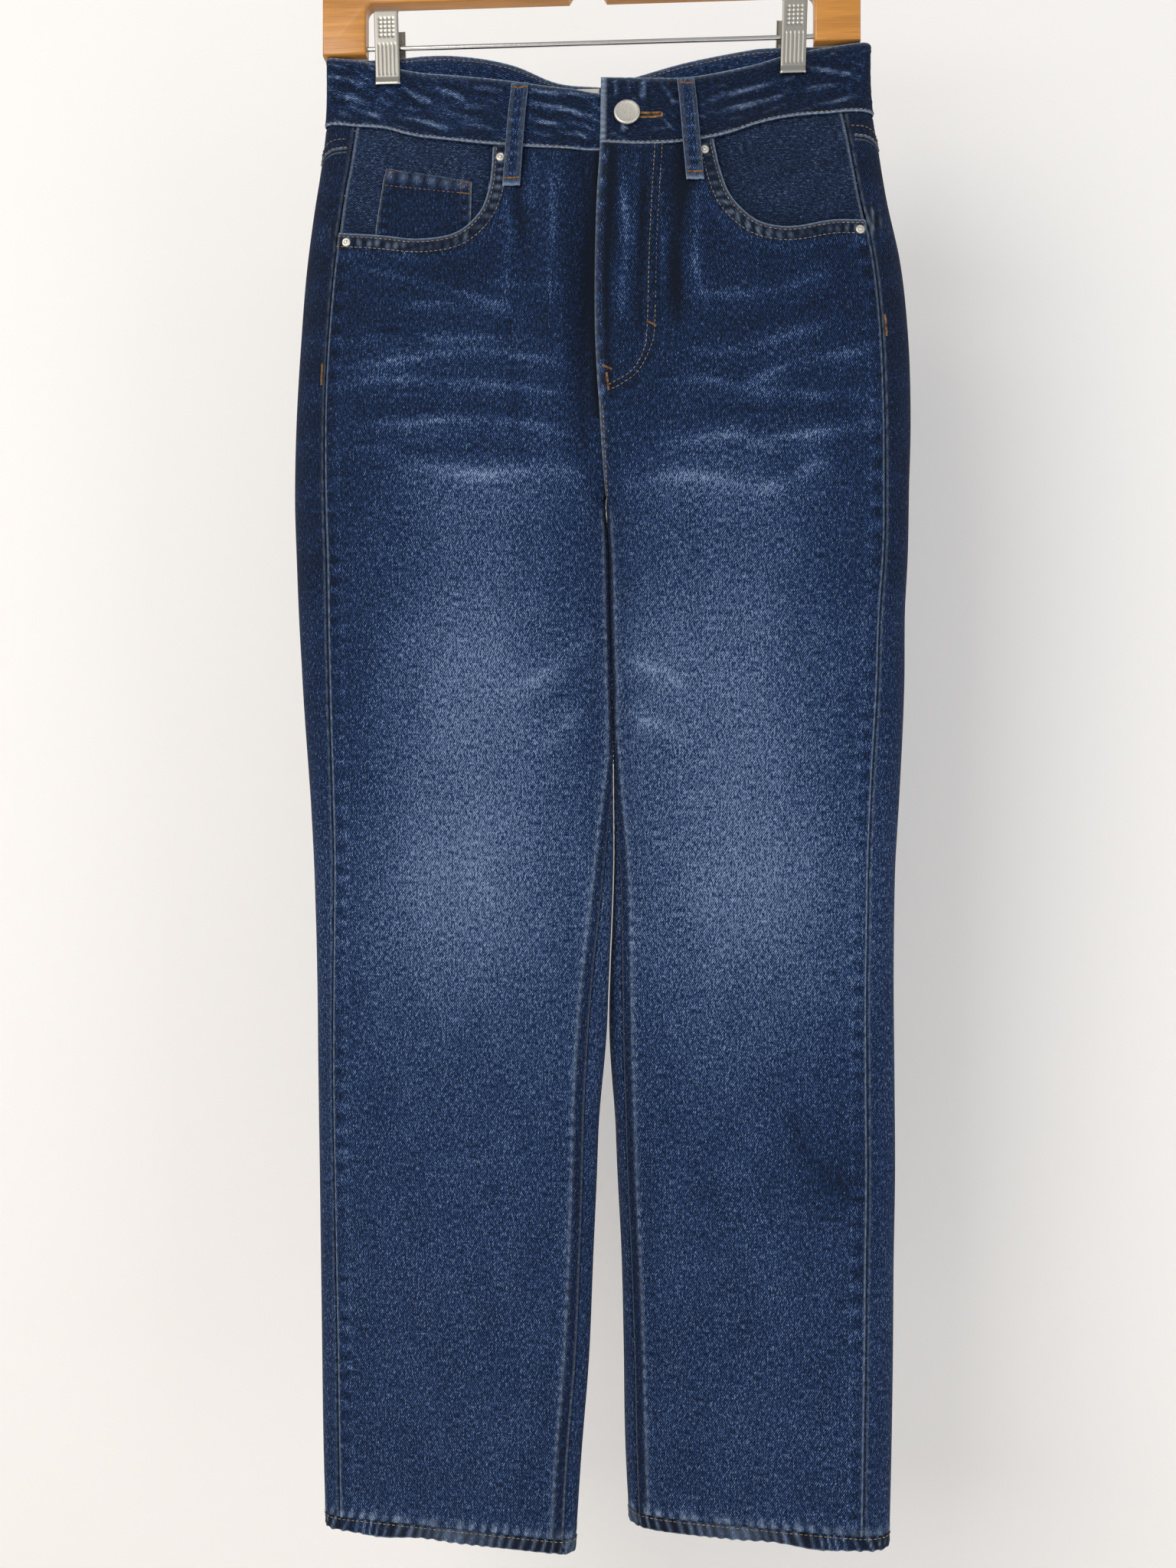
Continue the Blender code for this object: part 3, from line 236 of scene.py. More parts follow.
def along(x, z, x0, z0, x1, z1):
    """Share of the way along a line in the picture's plane, and the distance to one side of it."""
    run = math.hypot(x1 - x0, z1 - z0)
    t = ((x - x0) * (x1 - x0) + (z - z0) * (z1 - z0)) / run ** 2
    return t, ((x - x0) * (z1 - z0) - (z - z0) * (x1 - x0)) / run


def arch(t, power=1.0):
    """Rise and fall along a line from 0 to 1, nothing past its ends."""
    return np.sin(np.pi * np.clip(t, 0, 1)) ** power


def step(t):
    t = np.clip(t, 0.0, 1.0)
    return t * t * (3 - 2 * t)


def seam_angles(half, z, edge, mid):
    """Angles round a half at height z where its side, front and back seams lie."""
    close = 90.0 * np.clip((CROTCH_Z + 85.0 - z) / 85.0, 0.0, 1.0) ** 1.6
    full = 1 + np.sin(np.radians(close))
    inset = down(SEAMS, "side_" + half, z) / np.abs(mid - edge)
    side = np.degrees(np.arcsin(np.clip(inset * full - 1, -1, 1)))
    inset = np.maximum(down(SEAMS, "inseam_" + half, z), 0.0) / np.abs(mid - edge)
    inner = 90.0 - np.degrees(np.arccos(np.clip(1 - 2 * inset, -1, 1)))
    front = np.where(z > CROTCH_Z, close, inner)
    back = np.where(z > CROTCH_Z, -180.0 - close, inner - 360.0)
    return side, front, back, full


def form(half, w, z):
    """Smooth outer face of one half, and how far it stands from the middle of the two layers.

    w is the place round the half: -1 at the back seam, 0 at the side seam, 1 at the front one.
    """
    w, z = np.broadcast_arrays(np.asarray(w, float), np.asarray(z, float))
    edge = down(SECTIONS, "out_" + half, z)
    mid = down(SECTIONS, "mid_" + half, z)
    deep = down(SECTIONS, "deep_" + half, z)
    tip = down(SECTIONS, "tip", z)
    side, front_end, back_end, full = seam_angles(half, z, edge, mid)
    phi = np.radians(np.where(w >= 0, side + (front_end - side) * w, side + (side - back_end) * w))
    front = np.cos(phi) >= 0
    deep = np.where(front, deep, deep * (1 + 0.14 * np.clip((z + 640.0) / 200.0, 0, 1)))
    x = edge + (mid - edge) * (1 + np.sin(phi)) / full
    other = down(SECTIONS, "mid_r" if half == "l" else "mid_l", z)
    meet = step((CROTCH_Z - z) / 20.0) * step((z + 890.0) / 90.0)
    s_out = np.sqrt(2 * tip * np.abs(x - edge)) + 1e-6
    s_mid = np.sqrt(2 * tip * (np.abs(mid - x) + np.maximum(0.8 * (z - CROTCH_Z), 0))) + 1e-6
    y = (s_out ** -4 + s_mid ** -4 + deep ** -4) ** -0.25
    x = x + meet * 0.47 * (other - mid) * np.exp(-((x - mid) / 5.0) ** 2)
    clip = CLIP_X["left"] if half == "l" else CLIP_X["right"]
    cap = 2.2 + 0.16 * np.maximum(np.abs(x - clip) - 24, 0) + 0.4 * np.maximum(-178.0 - z, 0)
    y = np.where(z > -230, (y ** -4 + cap ** -4) ** -0.25, y)
    y = np.where(front, -y, y)
    stand = np.minimum(1.0, np.abs(y) / 14.0)
    for face, (x0, z0, x1, z1, wide, out) in by_face(FOLDS):
        t, off = along(x, z, x0, z0, x1, z1)
        push = out * np.exp(-(off / wide) ** 2) * arch(t, 0.7) * stand
        y = y + np.where(front == (face == "front"), np.where(front, -push, push), 0.0)
    turn = np.tan(np.radians(down(TURNS, "turn_" + half, z)))
    y = y - (x - 0.5 * (edge + mid)) * turn + down(TURNS, "shift_" + half, z)
    return np.stack((x, y, z), -1), stand, front


def place(half, face, x, z):
    """Place round the half of a spot seen at x, z on the front or the back."""
    x, z = np.broadcast_arrays(np.asarray(x, float), np.asarray(z, float))
    edge = down(SECTIONS, "out_" + half, z)
    mid = down(SECTIONS, "mid_" + half, z)
    side, front_end, back_end, full = seam_angles(half, z, edge, mid)
    phi = np.degrees(np.arcsin(np.clip((x - edge) / (mid - edge) * full - 1, -1, 1)))
    if face == "back":
        phi = -180.0 - phi
    w = np.where(phi >= side, (phi - side) / (front_end - side), (phi - side) / (side - back_end))
    return np.clip(w, -1, 1)


def outward(half, w, z):
    across = form(half, np.add(w, 0.004), z)[0] - form(half, np.add(w, -0.004), z)[0]
    up = form(half, w, np.add(z, 1.0))[0] - form(half, w, np.add(z, -1.0))[0]
    n = np.cross(across, up) * (1.0 if half == "l" else -1.0)
    return n / np.maximum(np.linalg.norm(n, axis=-1, keepdims=True), 1e-9)


# Cloth length round each half, so that rows of stitches and the weave keep true distances
GIRTH_Z = np.linspace(-1186.0, -134.0, 160)
GIRTH_W = np.linspace(-1.0, 1.0, 321)
SIDE_SEAM = len(GIRTH_W) // 2
GIRTH = {}
SHARE_PLACE = {}
for half in "lr":
    points = form(half, GIRTH_W[None, :], GIRTH_Z[:, None])[0]
    runs = np.linalg.norm(np.diff(points, axis=1), axis=2)
    lengths = np.concatenate((np.zeros((len(GIRTH_Z), 1)), np.cumsum(runs, axis=1)), axis=1)
    lengths -= lengths[:, SIDE_SEAM:SIDE_SEAM + 1]
    GIRTH[half] = lengths
    found = np.empty_like(lengths)
    for row, length in enumerate(lengths):
        shares = np.where(GIRTH_W < 0, length / -length[0], length / length[-1])
        found[row] = np.interp(GIRTH_W, shares, GIRTH_W)
    SHARE_PLACE[half] = found


def look_up(table, w, z):
    w, z = np.broadcast_arrays(np.asarray(w, float), np.asarray(z, float))
    i = np.clip((z - GIRTH_Z[0]) / (GIRTH_Z[1] - GIRTH_Z[0]), 0, len(GIRTH_Z) - 1.001)
    j = np.clip((w + 1.0) / (GIRTH_W[1] - GIRTH_W[0]), 0, len(GIRTH_W) - 1.001)
    a, b = i.astype(int), j.astype(int)
    s, t = i - a, j - b
    top = table[a, b] * (1 - t) + table[a, b + 1] * t
    low = table[a + 1, b] * (1 - t) + table[a + 1, b + 1] * t
    return top * (1 - s) + low * s


def girth(half, w, z):
    """Length of cloth from the side seam, negative towards the back."""
    return look_up(GIRTH[half], w, z)


def at_share(half, share, z):
    return look_up(SHARE_PLACE[half], share, z)


def beside(half, seam, distance, z):
    """Place the given length of cloth from the side seam, or in from the front or back seam."""
    z = np.asarray(z, float)
    ahead, behind = girth(half, 1.0, z), girth(half, -1.0, z)
    length = {"side": distance, "front": ahead - distance, "back": behind + distance}[seam]
    return at_share(half, np.where(length < 0, length / -behind, length / ahead), z)


def fine_curve(spots, count):
    """Evenly read points of a smooth curve through the given ones."""
    spots = np.array(spots, float)
    t = np.linspace(0, len(spots) - 1, count)
    return np.stack([smooth(np.arange(len(spots)), spots[:, k], t) for k in (0, 1)], -1)


MOUTH_LINE = {half: fine_curve(MOUTHS[half], 90) for half in "lr"}
FLY_LINE = fine_curve(FLY_CURVE, 60)
FAR_AWAY = 99.0
PUCKER_SEED = {"l": 0.4, "r": 2.3}


def distance_to(line, x, z):
    """Distance in the picture's plane from a line of points."""
    shape = np.shape(x)
    p = np.stack((np.ravel(x), np.ravel(z)), -1)
    best = np.full(len(p), 1e9)
    for a, b in zip(line[:-1], line[1:]):
        way = b - a
        t = np.clip(((p - a) @ way) / (way @ way), 0, 1)
        best = np.minimum(best, np.linalg.norm(p - a - t[:, None] * way, axis=1))
    return best.reshape(shape)


def seam_distances(half, w, z):
    """Cloth length from the side seam, and from the front and the back seam."""
    s = girth(half, w, z)
    return s, girth(half, 1.0, z) - s, s - girth(half, -1.0, z)


def mouth_edge(half, x, z, front):
    """Distance from the mouth's cut edge, and the run along it that its puckers follow."""
    edge = np.where(front & (z > -300), distance_to(MOUTH_LINE[half], x, z), FAR_AWAY)
    return edge, np.where(np.abs(x - MOUTHS[half][0][0]) < 14, -z, x)


def above_hem(half, z):
    return z - (HEM_EDGE[half] + HEM_TALL)


YOKE_LINE = ((1.0, -210.0), (0.9, -210.5), (0.78, -216.5), (0.5, -236.0), (0.2, -258.0), (0.0, -270.0))


def yoke_height(w):
    """Height of the yoke's seam at places from the side seam, 0, to the back seam, -1."""
    rows = YOKE_LINE[::-1]
    return smooth([row[0] for row in rows], [row[1] for row in rows], 1.0 + np.minimum(w, 0.0))


def ripple(a, long, seed):
    """Uneven pucker along a seam, between -1 and 1."""
    return np.sin(2 * np.pi * a / long + 1.9 * np.sin(a / (2.7 * long) + seed) + seed) * (
        0.65 + 0.35 * np.sin(a / (1.9 * long) + 2.1 * seed)
    )


def hump(a, middle, wide):
    return np.exp(-((a - middle) / wide) ** 2)


def crease_fields(x, z, front):
    """Height of all the smaller creases, and their worn paleness with painted shade in their hollows."""
    high = np.zeros(np.shape(x))
    pale = np.zeros(np.shape(x))
    for face, (x0, z0, x1, z1, bow, wide, out, worn) in by_face(CREASES):
        t, off = along(x, z, x0, z0, x1, z1)
        off = off - bow * arch(t) - 0.22 * wide * np.sin(7.5 * t + x0)
        spread = wide * np.where(off > 0, 1.3, 0.8)
        here = np.exp(-(off / spread) ** 2) * arch(t, 0.6)
        core = np.exp(-(off / (0.30 * spread)) ** 2) * arch(t, 0.5)
        here, core = (np.where(front == (face == "front"), part, 0.0) for part in (here, core))
        high = high + out * here
        # Pale on worn ridges; where the amount is below 0 it paints shade into the crease's hollow.
        pale = pale + worn * (0.50 * here + 0.85 * core) * (0.75 + 0.25 * np.sin(11 * t + z0))
    return high, pale


def seam_relief(half, w, z, x, front, under=False):
    """Height that seams, folded edges and their puckers add to the cloth."""
    s, ahead, behind = seam_distances(half, w, z)
    fall = band_level(half, "seam", x, front) - z
    foot = above_hem(half, z)
    yoke = z - yoke_height(w)
    seed = PUCKER_SEED[half]
    leg = step((CROTCH_Z + 6 - z) / 12.0)
    seat = 1 - leg
    crotch = step((-384 - z) / 6.0) * seat
    # Side seam, felled towards the front, with a gutter on its line
    h = -1.0 * hump(s, 0, 0.8) + 0.55 * hump(s, 2.3, 1.4) + 0.4 * hump(s, -2.1, 1.4)
    h = h + 0.35 * step(s / 2.0) * step((9.5 - s) / 2.0)
    h = h + 0.24 * ripple(z, 8.4, seed) * hump(np.abs(s), 5.0, 3.4)
    # Inseam down the leg, and the seat's seam above it
    h = h + leg * (0.45 * step(ahead / 1.2) * step((9.0 - ahead) / 1.2) - 1.0 * hump(ahead, 0, 0.9))
    h = h + leg * (0.3 * ripple(z, 7.4, seed + 1) * hump(ahead, 5.0, 3.4) - 1.0 * hump(behind, 0, 0.9))
    h = h + seat * (0.5 * step(behind / 1.2) * step((10.0 - behind) / 1.2) - 0.9 * hump(behind, 0, 0.8))
    h = h + 0.2 * ripple(z, 8.0, seed + 2) * hump(behind, 5.0, 3.5)
    h = h + crotch * (0.4 * step((9.0 - ahead) / 1.2) - 1.1 * hump(ahead, 0, 0.9))
    # Puckers under the waistband and over the hem
    h = h - 0.5 * hump(fall, 0, 1.2) + 0.4 * ripple(s, 10.0, seed) * np.exp(-np.maximum(fall, 0) / 6.0)
    h = h + 0.35 * ripple(s + 0.7 * foot, 8.5, seed) * np.exp(-np.maximum(foot, 0) / 5.0)
    back = w < -0.02
    felled = -0.8 * hump(yoke, 0, 0.8) + 0.5 * step(yoke / 1.0) * step((10 - yoke) / 1.5)
    h = h + np.where(back, felled, 0.0)
    h = h + np.where(back, 0.25 * ripple(s, 8.0, seed) * hump(np.abs(yoke), 5, 3.5), 0.0)
    if not under:
        edge, run = mouth_edge(half, x, z, front)
        h = h + 0.75 * step((11.5 - edge) / 1.4) - 0.55 * np.exp(-edge / 0.6)
        h = h + 0.3 * ripple(run, 6.6, seed) * hump(edge, 6.6, 3.4)
    fly = (1 - crotch) * seat
    if half == "r":
        side_x = np.interp(-z, -FLY_LINE[:, 1], FLY_LINE[:, 0])
        gap = distance_to(FLY_LINE, x, z)
        inside = np.where((x < side_x) & (z > -385.5) & front, gap, 0.0)
        h = h + 1.3 * step(inside / 2.6) - 1.1 * fly * np.where(front, np.exp(-ahead / 0.7), 0.0)
        h = h + 0.25 * ripple(z, 9.0, 1.2) * np.where(inside > 0, hump(inside, 2.5, 2.5), 0.0)
    else:
        h = h - 2.0 * np.where(front, fly * np.exp(-ahead / 5.0), 0.0)
    return h


def cloth(half, w, z, out=0.0, under=False):
    """Points of the worn cloth at a height above its outer face, and its outward directions."""
    w, z = np.broadcast_arrays(np.asarray(w, float), np.asarray(z, float))
    p, stand, front = form(half, w, z)
    high, _ = crease_fields(p[..., 0], z, front)
    n = outward(half, w, z)
    lift = high * stand + seam_relief(half, w, z, p[..., 0], front, under) + out
    return p + n * lift[..., None], n


def worn(half, w, z, x, front):
    """How pale the wash has left the cloth, darkened by painted shade in crease hollows and beside the fly, below 0
    where darkest and 1 where palest, and how rubbed its edges are.
    """
    _, fade = crease_fields(x, z, front)
    for face, (x0, z0, wide, tall, amount) in by_face(FADES):
        spot = amount * np.exp(-((x - x0) / wide) ** 2 - ((z - z0) / tall) ** 2)
        fade = fade + np.where(front == (face == "front"), spot, 0.0)
    s, ahead, behind = seam_distances(half, w, z)
    seed = PUCKER_SEED[half]
    leg = step((CROTCH_Z - z) / 10.0)
    knots = 0.5 + 0.5 * ripple(z, 9.0, seed + 1)
    # The whole wash, paler down the leg and darker along the seams
    fade = fade + 0.125 + 0.155 * step((-560 - z) / 200.0) + 0.03 * step((-300 - z) / 120.0)
    fade = fade - 0.06 * np.exp(-np.abs(s) / 16.0) - 0.08 * np.exp(-ahead / 14.0)
    fade = fade - 0.05 * np.exp(-behind / 14.0)
    fade = fade - 0.12 * (0.5 + 0.5 * ripple(z, 33.0, seed)) * np.where((s < -1) & (z > -520), 1.0, 0.0)
    # Mottled strips and rubbed ridges by the side seam and the inseam
    mottle = 0.5 + 0.5 * ripple(z, 15.0, seed)
    fade = fade - 0.24 * mottle ** 2 * hump(s, 6.0, 3.4) + 0.12 * (1 - mottle) * hump(s, 7.0, 4.0)
    fade = fade + 0.14 * (1 - mottle) * hump(s, 11.0, 1.6)
    fade = fade + leg * (-0.18 * hump(ahead, 4.5, 3.0) + 0.20 * knots * hump(ahead, 10.0, 3.0))
    rub = 0.62 * hump(s, 1.7, 0.5) * (0.66 + 0.34 * ripple(z, 9.0, seed))
    rub = rub + 0.34 * hump(s, -1.5, 0.45) * (0.6 + 0.4 * ripple(z, 13.0, seed))
    inseam = 0.45 * hump(ahead, 1.2, 0.5) * (0.6 + 0.4 * ripple(z, 6.0, seed))
    rub = rub + leg * (inseam + 0.30 * knots * hump(ahead, 8.6, 1.2))
    # Pale nicks over the hem and along the mouths
    foot = above_hem(half, z)
    nicks = 0.4 + 0.7 * ripple(s - 0.3 * foot, 8.3, seed) + 0.3 * ripple(s, 23.0, seed)
    nicks = np.clip(nicks, 0, 1) ** 1.5
    rub = rub + 0.36 * nicks * hump(foot, 2.5, 3.0)
    fade = fade + 0.34 * nicks * np.exp(-np.maximum(foot, 0) / 6.0) - 0.10 * np.exp(-np.maximum(foot, 0) / 1.5)
    edge, run = mouth_edge(half, x, z, front)
    nicks = np.clip(ripple(run, 6.4, seed), 0, 1) ** 1.5
    rub = rub + (0.78 + 0.22 * ripple(x - z, 4.1, seed)) * np.exp(-edge / 0.75)
    rub = rub + 0.46 * nicks * hump(edge, 6.2, 2.4)
    fade = fade - 0.20 * hump(edge, 5.5, 4.2) + (0.08 + 0.12 * nicks) * hump(edge, 14.0, 3.5)
    if half == "r":
        lap = np.where(front & (z > -455), np.exp(-ahead / 1.0), 0.0)
        rub = rub + (0.62 + 0.3 * ripple(z, 4.3, 0.9)) * lap
        gap = np.where(front & (z > -392), distance_to(FLY_LINE, x, z), FAR_AWAY)
        fade = fade - 0.08 * hump(gap, 2.5, 3.0) + 0.16 * hump(gap, 5.0, 2.0) * (0.5 + 0.5 * ripple(z, 12.0, 0.7))
        strip = (0.14 + 0.30 * ripple(z, 17.0, 0.7)) * hump(ahead, 3.4, 2.4) - 0.22 * hump(ahead, 8.6, 2.0)
        fade = fade + np.where(front & (z > -386), strip, 0.0)
    else:
        # Painted shade: the left panel goes almost black in the hollow under the fly's edge.
        fade = fade - np.where(front & (z > -400), 0.9 * np.exp(-ahead / 2.6), 0.0)
    yoke = np.abs(z - yoke_height(w))
    rub = rub + np.where(w < -0.02, 0.36 * hump(yoke, 1.1, 0.7) * (0.7 + 0.3 * ripple(s, 5.0, 0.3)), 0.0)
    return np.clip(fade, -0.5, 1), np.clip(rub, 0, 1)


def weave_map(half, s, z):
    """Place of the cloth in the weave's pattern, its warp running down."""
    return np.stack((s if half == "l" else -s, z), -1)


def worn_piece(half, w, z):
    """Points, outward ways, weave, fade and rub of a cut piece, and its smooth points."""
    points, out = cloth(half, w, z)
    smooth_points, _, front = form(half, w, z)
    fade, rub = worn(half, w, z, smooth_points[..., 0], front)
    return (points, out, weave_map(half, girth(half, w, z), z), fade, rub), smooth_points


def mesh_of(name, bm, *looks):
    mesh = bpy.data.meshes.new(name)
    bm.to_mesh(mesh)
    bm.free()
    for look in looks:
        mesh.materials.append(look)
    return mesh


def linked(name, data):
    obj = bpy.data.objects.new(name, data)
    bpy.context.scene.collection.objects.link(obj)
    return obj


def lay_cloth(name, points, out, weave, fade, rub, looks, thick=DENIM):
    """A grid of cloth moved to rows of points, with its weave map, its wear and painted shade, and a thin wall."""
    rows, cols = points.shape[:2]
    bm = bmesh.new()
    bmesh.ops.create_grid(bm, x_segments=cols - 1, y_segments=rows - 1, size=1.0)
    mesh = mesh_of(name, bm, *looks)
    flat = np.empty(rows * cols * 3)
    mesh.vertices.foreach_get("co", flat)
    flat = flat.reshape(-1, 3)
    j = np.rint((flat[:, 0] + 1) / 2 * (cols - 1)).astype(int)
    i = np.rint((flat[:, 1] + 1) / 2 * (rows - 1)).astype(int)
    mesh.vertices.foreach_set("co", (points[i, j] * MM).ravel())
    mesh.update()
    corner = np.empty(len(mesh.loops), int)
    mesh.loops.foreach_get("vertex_index", corner)
    uv = mesh.uv_layers.new(name="weave")
    uv.data.foreach_set("uv", (weave[i, j] * MM)[corner].ravel())
    # The first attribute holds how pale the wash has left the cloth together with its painted shade; the second how
    # rubbed it is.
    for label, values in (("fade", fade), ("rub", rub)):
        values = np.broadcast_to(values, (rows, cols))
        mesh.attributes.new(label, "FLOAT", "POINT").data.foreach_set("value", values[i, j].astype(float))
    normal = np.empty(len(mesh.vertices) * 3)
    mesh.vertices.foreach_get("normal", normal)
    if float(np.sum(normal.reshape(-1, 3) * out[i, j])) < 0:
        mesh.flip_normals()
    mesh.polygons.foreach_set("use_smooth", np.ones(len(mesh.polygons), bool))
    obj = linked(name, mesh)
    wall = obj.modifiers.new("cloth_wall", "SOLIDIFY")
    wall.thickness = thick * MM
    wall.offset = -1.0
    wall.use_quality_normals = True
    wall.material_offset = len(looks) - 1
    return obj


def cut_size(points):
    """Widest row, longest column and area of a piece laid flat, in metres."""
    across = np.linalg.norm(np.diff(points, axis=1), axis=2)
    along = np.linalg.norm(np.diff(points, axis=0), axis=2)
    width, length = across.sum(axis=1).max() * MM, along.sum(axis=0).max() * MM
    cell = 0.5 * (across[:-1] + across[1:]) * 0.5 * (along[:, :-1] + along[:, 1:])
    return width * 1.001, length * 1.001, min(float(cell.sum()) * MM * MM, width * length)


def feed(made, inputs):
    """Link or set the named inputs of a node."""
    for key, value in inputs.items():
        if isinstance(value, bpy.types.NodeSocket):
            made.id_data.links.new(value, made.inputs[key])
        else:
            made.inputs[key].default_value = value


def node(tree, kind, inputs=None, **settings):
    made = tree.nodes.new(kind)
    for key, value in settings.items():
        setattr(made, key, value)
    feed(made, inputs or {})
    return made


def maths(tree, operation, a, b, c=None, clamp=False):
    inputs = {0: a, 1: b} if c is None else {0: a, 1: b, 2: c}
    return node(tree, "ShaderNodeMath", inputs, operation=operation, use_clamp=clamp).outputs[0]


def blend_colours(tree, factor, a, b):
    return node(tree, "ShaderNodeMix", {0: factor, 6: a, 7: b}, data_type="RGBA").outputs[2]


def bumped(tree, strength, distance, height):
    inputs = {"Strength": strength, "Distance": distance, "Height": height}
    return node(tree, "ShaderNodeBump", inputs).outputs[0]


def new_look(name):
    """Empty material, its node tree and its shader."""
    look = bpy.data.materials.new(name)
    look.use_nodes = True
    return look, look.node_tree, look.node_tree.nodes["Principled BSDF"]


def group(name, inputs, outputs):
    """Empty node group with named inputs and outputs."""
    made = bpy.data.node_groups.new(name, "ShaderNodeTree")
    for label, kind, value in inputs:
        socket = made.interface.new_socket(label, in_out="INPUT", socket_type=kind)
        if value is not None:
            socket.default_value = value
    for label, kind in outputs:
        made.interface.new_socket(label, in_out="OUTPUT", socket_type=kind)
    return made, made.nodes.new("NodeGroupInput"), made.nodes.new("NodeGroupOutput")


# Washed twill: pale slubs run down the warp, short flecks of white weft show between them,
# fine diagonal ribs cross both, and rubbed edges go almost white
TWILL, twill_in, twill_out = group(
    "washed_twill",
    (("Weave", "NodeSocketVector", None), ("Fade", "NodeSocketFloat", 0.3), ("Rub", "NodeSocketFloat", 0.0),
     ("Deep", "NodeSocketColor", None), ("Washed", "NodeSocketColor", None), ("Pale", "NodeSocketColor", None)),
    (("Color", "NodeSocketColor"), ("Height", "NodeSocketFloat")),
)


def stretched_noise(tree, place_in, scale, detail=2.0, rough=0.6):
    mapped = node(tree, "ShaderNodeMapping", {"Vector": place_in, "Scale": scale}).outputs[0]
    inputs = {"Vector": mapped, "Scale": 1.0, "Detail": detail, "Roughness": rough}
    return node(tree, "ShaderNodeTexNoise", inputs).outputs[0]


def swing(texture, amount, middle=0.0):
    """A pattern of the twill, swung about a middle value by an amount."""
    return maths(TWILL, "MULTIPLY_ADD", maths(TWILL, "SUBTRACT", texture, 0.5), amount, middle)


where = twill_in.outputs["Weave"]
fade_and_shade_input = twill_in.outputs["Fade"]
slub = stretched_noise(TWILL, where, (860, 290, 1), 3.0, 0.68)
fleck = stretched_noise(TWILL, where, (1350, 760, 1), 2.0, 0.6)
grain = stretched_noise(TWILL, where, (420, 60, 1), 2.0, 0.6)
cloud = stretched_noise(TWILL, where, (42, 15, 1), 3.0, 0.6)
turned_weave = node(TWILL, "ShaderNodeMapping", {"Vector": where, "Rotation": (0, 0, math.radians(33))}).outputs[0]
rib_inputs = {"Vector": turned_weave, "Scale": 262.0, "Distortion": 1.2, "Detail": 1.0, "Detail Scale": 3.0}
rib = node(TWILL, "ShaderNodeTexWave", rib_inputs, bands_direction="X").outputs["Fac"]
pattern = swing(slub, 2.7)
for texture, amount in ((fleck, 1.8), (grain, 0.4), (rib, 0.55)):
    pattern = maths(TWILL, "ADD", pattern, swing(texture, amount))
strength = maths(TWILL, "MULTIPLY_ADD", fade_and_shade_input, 0.30, 0.74)
shade = maths(TWILL, "MULTIPLY_ADD", pattern, strength, swing(cloud, 0.24))
shade = maths(TWILL, "ADD", shade, fade_and_shade_input)
low_shade = blend_colours(TWILL, maths(TWILL, "MULTIPLY", shade, 2.0, clamp=True),
                          twill_in.outputs["Deep"], twill_in.outputs["Washed"])
high_shade = maths(TWILL, "POWER", maths(TWILL, "MULTIPLY_ADD", shade, 2.0, -1.0, clamp=True), 1.25)
twill_colour = blend_colours(TWILL, high_shade, low_shade, twill_in.outputs["Pale"])
rub_here = maths(TWILL, "MULTIPLY", swing(slub, 1.3, 0.9), twill_in.outputs["Rub"], clamp=True)
twill_colour = blend_colours(TWILL, rub_here, twill_colour, (0.30, 0.38, 0.49, 1.0))
twill_height = maths(TWILL, "ADD", maths(TWILL, "MULTIPLY", slub, 0.7), maths(TWILL, "MULTIPLY", rib, 0.22))
twill_height = maths(TWILL, "ADD", twill_height, maths(TWILL, "MULTIPLY", grain, 0.5))
feed(twill_out, {"Color": twill_colour, "Height": twill_height})


def twill_look(name, deep, washed, pale, bump=0.55):
    """Material of one wash of the twill, read from the weave map and the wear and painted shade on the mesh."""
    look, tree, shader = new_look(name)
    inputs = {"Weave": node(tree, "ShaderNodeUVMap", uv_map="weave").outputs[0]}
    for label in ("Fade", "Rub"):
        inputs[label] = node(tree, "ShaderNodeAttribute", attribute_name=label.lower()).outputs["Fac"]
    for label, colour in (("Deep", deep), ("Washed", washed), ("Pale", pale)):
        inputs[label] = colour + (1.0,)
    twill = node(tree, "ShaderNodeGroup", node_tree=TWILL)
    feed(twill, inputs)
    feed(shader, {"Base Color": twill.outputs["Color"], "Roughness": 0.88, "Specular IOR Level": 0.12,
                  "Sheen Weight": 0.03, "Sheen Roughness": 0.5,
                  "Normal": bumped(tree, bump, 0.0006, twill.outputs["Height"])})
    return look


WASHED_TWILL = twill_look("washed_twill_face", (0.0024, 0.0048, 0.0112), (0.0092, 0.0300, 0.097),
                          (0.178, 0.240, 0.355))
TWILL_REVERSE = twill_look("washed_twill_reverse", (0.10, 0.13, 0.18), (0.20, 0.25, 0.32), (0.42, 0.47, 0.54))


def spaced(total, fine_places, coarse, fine=1.1, reach=12.0):
    """Places along a length, close together within reach of the named ones."""
    found = [0.0]
    while found[-1] < total:
        here = found[-1]
        near = min(abs(here - f) for f in fine_places)
        found.append(here + fine + (coarse - fine) * min(max((near - reach) / 10.0, 0.0), 1.0))
    return np.array(found) * total / found[-1]


